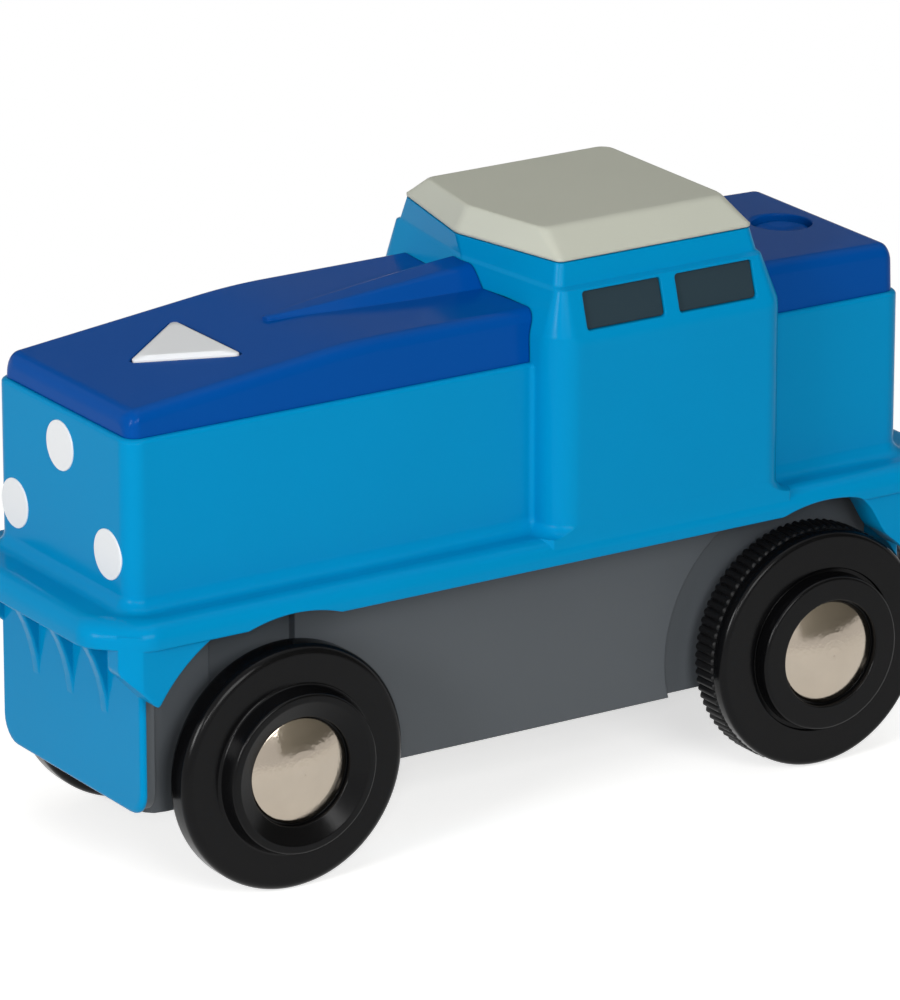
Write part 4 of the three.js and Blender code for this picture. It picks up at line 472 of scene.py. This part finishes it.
def window(row, y0, y1, grow=0.0):
    x1 = WINDOW["x"] - row * (WINDOW["width"] + WINDOW["pillar"]) + grow
    x0 = x1 - WINDOW["width"] - 2 * grow
    z0, z1, r = WINDOW["z0"] - grow, WINDOW["z1"] + grow, WINDOW["radius"]
    return prism([(x0, z0, r), (x1, z0, r), (x1, z1, r), (x0, z1, r)], y0, y1, "y")


def body():
    z0, passage = WALK["z1"], HOOD["seam"] - TONGUE["drop"]
    wall = HOOD["wall"]
    x0, x1 = HOOD["x0"] + wall, HOOD["x1"] - wall
    room, rim, eaves = HOOD["half"] - wall, HOOD["seam"] + OVER, CAB["eaves"] + OVER
    slot, low = COUPLING_SLOT["half"], SKIRT["z0"] - OVER
    mesh = join(walkway(), lower_block(), cab_block(), skirt(SKIRT["front"], 1), skirt(SKIRT["rear"], -1))
    tools = [
        box(CAB["apex"] + CAB["wall"], x1, -room, room, z0, rim),
        box(x0, CAB["rear"] - CAB["wall"], -room, room, z0, rim),
        box(x0, x1, -room, room, z0 - 0.01, passage),
        box(x0, x1, -CHASSIS_HALF, CHASSIS_HALF, WALK["z0"] - OVER, passage),
        cab_block(-CAB["wall"], z0 + 0.01),
        box(ROOF_WELL["x0"], ROOF_WELL["x1"], -ROOF_WELL["half"], ROOF_WELL["half"], z0, eaves),
        box(SKIRT["rear"] - OVER, SKIRT["rear"] + wall + OVER, -slot, slot, low, COUPLING_SLOT["top"]),
    ]
    behind_skirt = (-50, SKIRT["front"] - wall, -30, 30, -5, WALK["z1"])
    tools += [common(wheel_arch(end), box(*behind_skirt)) for end in AXLES]
    for row in (0, 1):
        tools += [window(row, CHASSIS_HALF, BEYOND), window(row, -BEYOND, -CHASSIS_HALF)]
    mesh = cut(mesh, *tools)
    place, top, rib = (BOSS["x"], 0), BOSS["top"], BOSS["rib"]
    boss = rod(place, BOSS["radius"], WALK["z0"], top, "z", steps=32)
    pilot = rod(place, BOSS["bore"], WALK["z0"] - OVER, BOSS["bore_top"], "z", steps=32)
    mesh = join(mesh, boss, box(BOSS["x"], x1 + 0.7, -rib, rib, WALK["z0"], top))
    notches = []
    for y0, y1 in ((HOOK["y0"], HOOK["y1"]), (-HOOK["y1"], -HOOK["y0"])):
        notches.append(box(x0 - HOOK["deep"], x0 + GAP, y0 - GAP, y1 + GAP, HOOK["z0"], HOOK["z1"]))
    stand_for("body_shell", cut(mesh, pilot, *notches))


def front_marks():
    """The chassis's grey edge behind the front skirt, and the printed discs on the hood's nose."""
    half, low, high, r = FRONT_EDGE["half"], FRONT_EDGE["z0"], FRONT_EDGE["z1"], FRONT_EDGE["radius"]
    outline = [(-half, low, r), (half, low, r), (half, high, 0), (-half, high, 0)]
    edge = prism(outline, FRONT_EDGE["x0"], SKIRT["front"] - SKIRT["thin"] - 0.02, "x")
    piece("chassis_front_edge", edge, "loco_body", "chassis_grey")
    ends = (HOOD["x1"] - DISC["sunk"], HOOD["x1"] + DISC["proud"])
    for i, place in enumerate(DISC_PLACES):
        disc = rod(place, DISC["radius"], *ends, "x", edge=DISC["edge"], steps=96)
        piece(f"headlight_disc_{i + 1}", disc, "loco_body", "button_white")


# Covers
SLOPE = (COVER["level"] - COVER["nose"]) / (HOOD["x1"] - COVER["kink"])
TILT = math.atan(SLOPE)


def cover_top(x):
    if x < CAB["rear"]:
        share = (CAB["rear"] - x) / (CAB["rear"] - HOOD["x0"])
        return COVER["level"] - share * (COVER["level"] - COVER["rear"])
    soft = COVER["soft"]
    t = x - COVER["kink"]
    drop = 0.0 if t < -soft else (t + soft) ** 2 / (4 * soft) if t < soft else t
    return COVER["level"] - SLOPE * drop


def cover_ring(x, inset):
    base = HOOD["half"] - COVER["step"] - inset
    top = base - COVER["draft"]
    z = cover_top(x) - inset
    r = COVER["edge"]
    section = [(-base, HOOD["seam"], 0), (base, HOOD["seam"], 0), (top, z, r), (-top, z, r)]
    return [(x, p.x, p.y) for p in rounded(section, 8)]


def cover_skin(stations, end, way):
    rings = [cover_ring(x, 0) for x in stations]
    nose = [cover_ring(end - way * d, i) for i, d in reversed(quarter(COVER["edge"], 8))]
    return loft(rings + nose if way > 0 else list(reversed(nose)) + rings)


def cover_room(x0, x1):
    steps = 12
    rings = []
    for k in range(steps + 1):
        ring = cover_ring(x0 + (x1 - x0) * k / steps, COVER["wall"])
        rings.append([(x, y, z if z > HOOD["seam"] + 0.05 else HOOD["seam"] - OVER) for x, y, z in ring])
    return loft(rings)


def tongue(x0, x1, half, z0, z1, wall):
    inner = box(x0 + wall, x1 - wall, -half + wall, half - wall, z0 - OVER, z1 + OVER)
    return cut(box(x0, x1, -half, half, z0, z1), inner)


RIDGE = dict(tip_x=24.8, length=23.6, half=0.45, widens=2.95, rise=2.15, sunk=0.7)
# Shares of the ridge's length, growth in width and rise, from its tip to the cab
RIDGE_SHARES = [(0.0, 0.0, 0.0), (0.015, 0.03, 0.05), (0.04, 0.08, 0.08), (0.24, 0.45, 0.26),
                (0.42, 0.64, 0.44), (0.6, 0.79, 0.62), (0.8, 0.91, 0.83), (1.0, 1.0, 1.0)]


def ridge():
    """The bulge that widens and rises from a rounded tip back to the cab."""
    level = COVER["level"]
    rings = []
    for along, wide, rise in RIDGE_SHARES:
        base = RIDGE["half"] + wide * RIDGE["widens"]
        top, r = level + 0.02 + rise * RIDGE["rise"], 0.1 + 1.3 * rise
        crest, sunk = base * 0.55, level - RIDGE["sunk"]
        section = [(-base, sunk, 0), (base, sunk, 0), (base, level, 0),
                   (crest, top, r), (-crest, top, r), (-base, level, 0)]
        x = RIDGE["tip_x"] - along * RIDGE["length"]
        rings.append([(x, p.x, p.y) for p in rounded(section, 8)])
    return loft(rings)


def triangle(grow):
    length, half = 8.3, 6.1
    corners = [(length / 2, 0, 0.45), (-length / 2, half, 0.36), (-length / 2, -half, 0.36)]
    return grown(turning(corners), grow)


def frame_at(x, tilt):
    return Matrix.Translation((x, 0, cover_top(x))) @ Matrix.Rotation(tilt, 4, "Y")


NOSE = frame_at(35.0, TILT)
TAIL = frame_at(-33.0, 0.0)
BOARD_Z = -6.75  # the lower ends of the posts, below the top of the cover


def post(matrix, x, y):
    return moved(rod((x, y), 2.0, BOARD_Z, -0.7, "z", steps=32), matrix)


def covers():
    stations = [1.2, 10.0] + [COVER["kink"] + k * COVER["soft"] / 6 for k in range(-6, 7)] + [34.0]
    half = HOOD["half"] - HOOD["wall"] - GAP
    heights = (HOOD["seam"] - TONGUE["drop"], HOOD["seam"] + TONGUE["rise"])
    mesh = join(cover_skin(stations, HOOD["x1"] - COVER["step"], 1), ridge())
    mesh = cut(mesh, cover_room(CAB["apex"] + CAB["wall"], HOOD["x1"] - COVER["step"] - COVER["wall"]))
    ends = (CAB["apex"] + CAB["wall"] + GAP, HOOD["x1"] - HOOD["wall"] - GAP)
    inner = tongue(*ends, half, *heights, TONGUE["wall"])
    mesh = join(mesh, inner, post(NOSE, -7.3, 5.2), post(NOSE, 6.0, -5.2))
    mouth = moved(prism(triangle(0.25), -4, 2, "z"), NOSE)
    stand_for("front_hood_cover", cut(mesh, mouth, cab_block(SEAM)))

    end = HOOD["x0"] + COVER["step"]
    mesh = cover_skin([CAB["rear"], -20.4], end, -1)
    mesh = cut(mesh, cover_room(end + COVER["wall"], CAB["rear"] - CAB["wall"]))
    ends = (HOOD["x0"] + HOOD["wall"] + GAP, CAB["rear"] - CAB["wall"] - GAP)
    inner = tongue(*ends, half, *heights, TONGUE["wall"])
    mesh = join(mesh, inner, post(TAIL, 4.6, -5.2))
    lip = [(2.9 + i, -d) for i, d in quarter(0.25, 4)]
    turns = [2 * math.pi * k / 96 for k in range(96)]
    rings = [(2.9, -4.0)] + list(reversed(lip)) + [(3.15, 1.0)]
    hole = loft([[(r * math.cos(a), r * math.sin(a), z) for a in turns] for r, z in rings])
    stand_for("rear_hood_cover", cut(mesh, moved(hole, TAIL), cab_block(SEAM)))


def roof():
    def outline(share, inset=0.0):
        half, front = 13.15 - 3.15 * share - inset, 1.2 - 0.2 * share - inset
        apex, rear = 4.0 - 1.2 * share - inset, -20.4 + 0.95 * share + inset
        r = max(0.7 + 0.5 * share - inset * 0.3, 0.3)
        return [(rear, -half, r), (front, -half, r), (apex, 0, 3.0), (front, half, r), (rear, half, r)]

    low, rim = CAB["eaves"] + SEAM, CAB["eaves"] + 0.38
    levels = [(0.0, low, 0.06), (0.0, low + 0.06, 0.0), (0.0, rim, 0.0), (0.012, rim + 0.06, 0.05)]
    for share in (0.25, 0.5, 0.7, 0.86, 0.9, 0.94, 0.98, 1.02, 1.06, 1.1, 1.14):
        lift = share if share < 0.86 else share - (share - 0.86) ** 2 / 0.56
        levels.append((share, rim + (ROOF_Z - rim) * lift, 0.04))
    mesh = loft([[(p.x, p.y, z) for p in rounded(outline(s, i), 10)] for s, z, i in levels])
    hollow = ((0.0, CAB["eaves"] - OVER), (1.0, ROOF_Z - 1.3))
    room = loft([[(p.x, p.y, z) for p in rounded(outline(s, 2.6), 6)] for s, z in hollow])
    ends = (ROOF_WELL["x0"] + GAP, ROOF_WELL["x1"] - GAP)
    inner = tongue(*ends, ROOF_WELL["half"] - GAP, CAB["eaves"] - 1.6, CAB["eaves"] + 1.3, 1.1)
    stand_for("cab_roof", join(cut(mesh, room), inner), sharp=25)


def windows():
    """Each side's two panes on one plate, sheared to the lean of the cab's wall."""
    slope = CAB["lean"] / (CAB["head"] - CAB["sill"])
    flange = PANE["flange"]
    for side, node in ((1, "left_window_insert"), (-1, "right_window_insert")):
        face = HEAD_HALF - CAB["wall"] - SEAM
        ends = sorted((side * face, side * (face - PANE["thick"])))
        x0 = WINDOW["x"] - 2 * WINDOW["width"] - WINDOW["pillar"] - flange
        plate = box(x0, WINDOW["x"] + flange, *ends, WINDOW["z0"] - flange, WINDOW["z1"] + flange)
        ends = sorted((side * (face - PANE["sunk"]), side * (HEAD_HALF - PANE["recess"])))
        mesh = join(plate, *[window(row, *ends, -PANE["gap"]) for row in (0, 1)])
        for vertex in mesh.vertices:
            vertex.co.y -= side * slope * (vertex.co.z - CAB["head"])
        stand_for(node, mesh)


# Wheels
def wheels():
    """The wheels, tyres and caps, as profiles of (radius, place across, corner radius)."""
    front = [(1.52, 10.1, 0.05), (2.7, 10.1, 0.1), (2.7, 13.6, 0.1), (10.24, 13.6, 0.25), (10.24, 12.5, 0.2),
             (AXLE_Z, 12.5, 0.9), (AXLE_Z, 15.7, 0.9), (8.1, 15.7, 0.3), (7.62, 17.4, 0.28),
             (6.9, 17.4, 0.25), (5.25, 16.6, 0.15), (5.25, 16.0, 0.05), (1.52, 16.0, 0.05)]
    rear = [(1.52, 10.1, 0.05), (2.7, 10.1, 0.1), (2.7, 12.6, 0.1), (8.94, 12.6, 0.25), (8.94, 10.55, 0.2),
            (11.1, 10.55, 0.15), (11.1, 10.95, 0.02), (10.44, 10.95, 0.02), (10.44, 13.95, 0.02),
            (11.62, 13.95, 0.12), (11.62, 15.5, 0.6), (8.05, 15.5, 0.06), (8.05, 15.15, 0.05),
            (7.6, 15.15, 0.05), (7.6, 16.9, 0.35), (5.25, 16.9, 0.15), (5.25, 16.1, 0.05), (1.52, 16.1, 0.05)]
    cap = [(0, 0.02, 0), (5.05, 0.02, 0.02), (5.05, 0.14, 0.05)]
    dome_shares = (0.97, 0.92, 0.85, 0.76, 0.66, 0.55, 0.43, 0.3, 0.15)
    cap += [(5.05 * s, 0.14 + 1.13 * (1 - s * s), 0.0) for s in dome_shares]
    cap += [(0, 1.27, 0)]
    for side, word in ((1, "left"), (-1, "right")):
        stand_for(word + "_front_wheel", lathe(front, AXLES["front"], AXLE_Z, side))
        stand_for(word + "_rear_wheel", lathe(rear, AXLES["rear"], AXLE_Z, side))
        stand_for(word + "_traction_tyre", tyre(side))
        for end, seat in (("front", 16.0), ("rear", 16.1)):
            profile = [(r, y + seat, c) for r, y, c in cap]
            stand_for(f"{word}_{end}_hub_cap", lathe(profile, AXLES[end], AXLE_Z, side, 96, 2))


def tyre(side):
    ribs, per, depth = 84, 8, 0.34
    y0, y1, bore = 10.97, 13.93, 10.49
    points, count = [], ribs * per
    for k in range(count):
        turn = 2 * math.pi * k / count
        wave = abs(math.sin(turn * ribs / 2)) ** 0.75
        r = AXLE_Z - depth * (1 - wave)
        profile = [(bore, y0), (r - 0.2, y0), (r, y0 + 0.2), (r, y1 - 0.2), (r - 0.2, y1), (bore, y1)]
        across, up = math.cos(turn), math.sin(turn)
        points += [(AXLES["rear"] + a * across, side * y, AXLE_Z + a * up) for a, y in profile]
    faces = []
    for k in range(count):
        for i in range(6):
            a, b = k * 6, (k + 1) % count * 6
            faces.append([a + i, a + (i + 1) % 6, b + (i + 1) % 6, b + i])
    return solid(points, faces)


# Buttons
def buttons():
    levels = [(0.0, -2.05), (0.0, 0.08), (-0.05, 0.14), (-0.34, 0.36), (-0.46, 0.4), (-0.58, 0.41)]
    rings = [[(p.x, p.y, z) for p in rounded(triangle(g), 8)] for g, z in levels]
    mesh = join(loft(rings), prism(triangle(0.9), -2.45, -1.65, "z"))
    stand_for("forward_button", moved(mesh, NOSE))
    profile = [(0, -2.45, 0), (3.55, -2.45, 0.05), (3.55, -1.65, 0.05), (2.65, -1.65, 0.05),
               (2.65, -0.6, 0.2), (2.15, -0.6, 0.1)]
    profile += [(2.15 * s, -0.6 - 0.5 * (1 - s * s), 0) for s in (0.85, 0.7, 0.55, 0.4, 0.2)]
    profile += [(0, -1.1, 0)]
    mesh = moved(lathe(profile, 0, 0, 1, 96, 3), Matrix.Rotation(math.pi / 2, 4, "X"))
    stand_for("stop_button", moved(mesh, TAIL))


body()
front_marks()
covers()
roof()
windows()
wheels()
buttons()
BEVELS = {"chassis": 0.2, "gearbox_cover": 0.15, "battery_door": 0.15, "coupler_arm": 0.2,
          "coupler_magnet": 0.2, "magnet_rivet": 0.08, "coupler_pin": 0.1, "battery_door_screw": 0.08,
          "gearbox_screw_rear": 0.08, "gearbox_screw_front": 0.08, "body_screw": 0.08}
for node, width in BEVELS.items():
    softened(node, width)
for node, obj in NODES.items():
    obj.data.materials.clear()
    obj.data.materials.append(FINISHES[SLOT_OF[node]])


# Stage
def lamp(name, place, aim, size, power):
    data = bpy.data.lights.new(name, "AREA")
    data.shape = "RECTANGLE"
    data.size, data.size_y = size
    data.energy = power
    obj = bpy.data.objects.new(name, data)
    obj.location = place
    obj.rotation_euler = (Vector(aim) - Vector(place)).to_track_quat("-Z", "Y").to_euler()
    bpy.context.scene.collection.objects.link(obj)


def seen_directly(nodes, links):
    """1 for rays from the camera, from mirrors and through glass, and 0 for light that spreads."""
    path = nodes.new("ShaderNodeLightPath")
    first = nodes.new("ShaderNodeMath")
    second = nodes.new("ShaderNodeMath")
    first.operation = second.operation = "MAXIMUM"
    links.new(path.outputs["Is Camera Ray"], first.inputs[0])
    links.new(path.outputs["Is Glossy Ray"], first.inputs[1])
    links.new(first.outputs["Value"], second.inputs[0])
    links.new(path.outputs["Is Transmission Ray"], second.inputs[1])
    return second.outputs["Value"]


def times(nodes, links, value, factor):
    """A value times a number or another value."""
    node = nodes.new("ShaderNodeMath")
    node.operation = "MULTIPLY"
    links.new(value, node.inputs[0])
    if isinstance(factor, float):
        node.inputs[1].default_value = factor
    else:
        links.new(factor, node.inputs[1])
    return node.outputs["Value"]


def floor():
    mesh = bpy.data.meshes.new("floor")
    reach = 6.0
    corners = [(-reach, -reach, 0), (reach, -reach, 0), (reach, reach, 0), (-reach, reach, 0)]
    mesh.from_pydata(corners, [], [(0, 1, 2, 3)])
    obj = bpy.data.objects.new("floor", mesh)
    obj.location.z = -0.00005
    bpy.context.scene.collection.objects.link(obj)
    material = bpy.data.materials.new("floor")
    material.use_nodes = True
    nodes, links = material.node_tree.nodes, material.node_tree.links
    shader = nodes["Principled BSDF"]
    shader.inputs["Base Color"].default_value = (0.8, 0.795, 0.78, 1)
    shader.inputs["Roughness"].default_value = 0.9
    shader.inputs["Specular IOR Level"].default_value = 0.0
    place = nodes.new("ShaderNodeNewGeometry")
    away = nodes.new("ShaderNodeVectorMath")
    away.operation = "LENGTH"
    links.new(place.outputs["Position"], away.inputs[0])
    fade = nodes.new("ShaderNodeMapRange")
    fade.interpolation_type = "SMOOTHSTEP"
    fade.inputs["From Min"].default_value = 0.06
    fade.inputs["From Max"].default_value = 0.13
    links.new(away.outputs["Value"], fade.inputs["Value"])
    direct = seen_directly(nodes, links)
    lift = nodes.new("ShaderNodeEmission")
    links.new(times(nodes, links, direct, 0.62), lift.inputs["Strength"])
    near = nodes.new("ShaderNodeAddShader")
    links.new(shader.outputs["BSDF"], near.inputs[0])
    links.new(lift.outputs["Emission"], near.inputs[1])
    white = nodes.new("ShaderNodeEmission")
    mix = nodes.new("ShaderNodeMixShader")
    links.new(times(nodes, links, direct, fade.outputs["Result"]), mix.inputs["Fac"])
    links.new(near.outputs["Shader"], mix.inputs[1])
    links.new(white.outputs["Emission"], mix.inputs[2])
    links.new(mix.outputs["Shader"], nodes["Material Output"].inputs["Surface"])
    mesh.materials.append(material)


def card(name, place, width, height):
    """A grey studio card that stands facing the object, seen only in its reflections."""
    mesh = bpy.data.meshes.new(name)
    w, h = width / 2, height / 2
    mesh.from_pydata([(-w, -h, 0), (w, -h, 0), (w, h, 0), (-w, h, 0)], [], [(0, 1, 2, 3)])
    obj = bpy.data.objects.new(name, mesh)
    obj.location = place
    facing = Vector((-place[0], -place[1], 0))
    obj.rotation_euler = facing.to_track_quat("Z", "Y").to_euler()
    bpy.context.scene.collection.objects.link(obj)
    obj.visible_camera = False
    mesh.materials.append(finish(name, (170, 168, 160), 0.9, shine=0.0))


def surroundings():
    world = bpy.data.worlds.new("studio")
    bpy.context.scene.world = world
    world.use_nodes = True
    nodes, links = world.node_tree.nodes, world.node_tree.links
    sky = nodes["Background"]
    sky.inputs["Color"].default_value = (1, 1, 1, 1)
    level = nodes.new("ShaderNodeMapRange")
    level.inputs["To Min"].default_value = 0.25
    level.inputs["To Max"].default_value = 1.0
    links.new(seen_directly(nodes, links), level.inputs["Value"])
    links.new(level.outputs["Result"], sky.inputs["Strength"])


floor()
surroundings()
lamp("side_softbox", (0.10, 0.75, 0.40), (0, 0, 0.03), (0.45, 0.3), 3.4)
lamp("front_softbox", (0.75, 0.25, 0.30), (0, 0, 0.03), (0.25, 0.25), 3.6)
lamp("top_softbox", (-0.05, 0.05, 0.80), (0, 0, 0.03), (0.5, 0.5), 0.8)
lamp("corner_lamp", (0.46, 0.66, 0.32), (0, 0, 0.03), (0.06, 0.06), 0.9)
card("rear_card", (-0.35, -0.50, 0.36), 1.3, 0.66)
card("left_card", (-0.28, 0.40, 0.26), 0.6, 0.52)

data = bpy.data.cameras.new("camera")
data.lens = 273.9
data.sensor_width = 36.0
data.clip_start, data.clip_end = 0.05, 20.0
camera = bpy.data.objects.new("camera", data)
camera.location = (0.37069, 0.56759, 0.25668)
aim = Vector((0.00462, 0, 0.0282)) - camera.location
camera.rotation_euler = aim.to_track_quat("-Z", "Y").to_euler()
bpy.context.scene.collection.objects.link(camera)
bpy.context.scene.camera = camera
bpy.context.scene.view_settings.view_transform = "Standard"
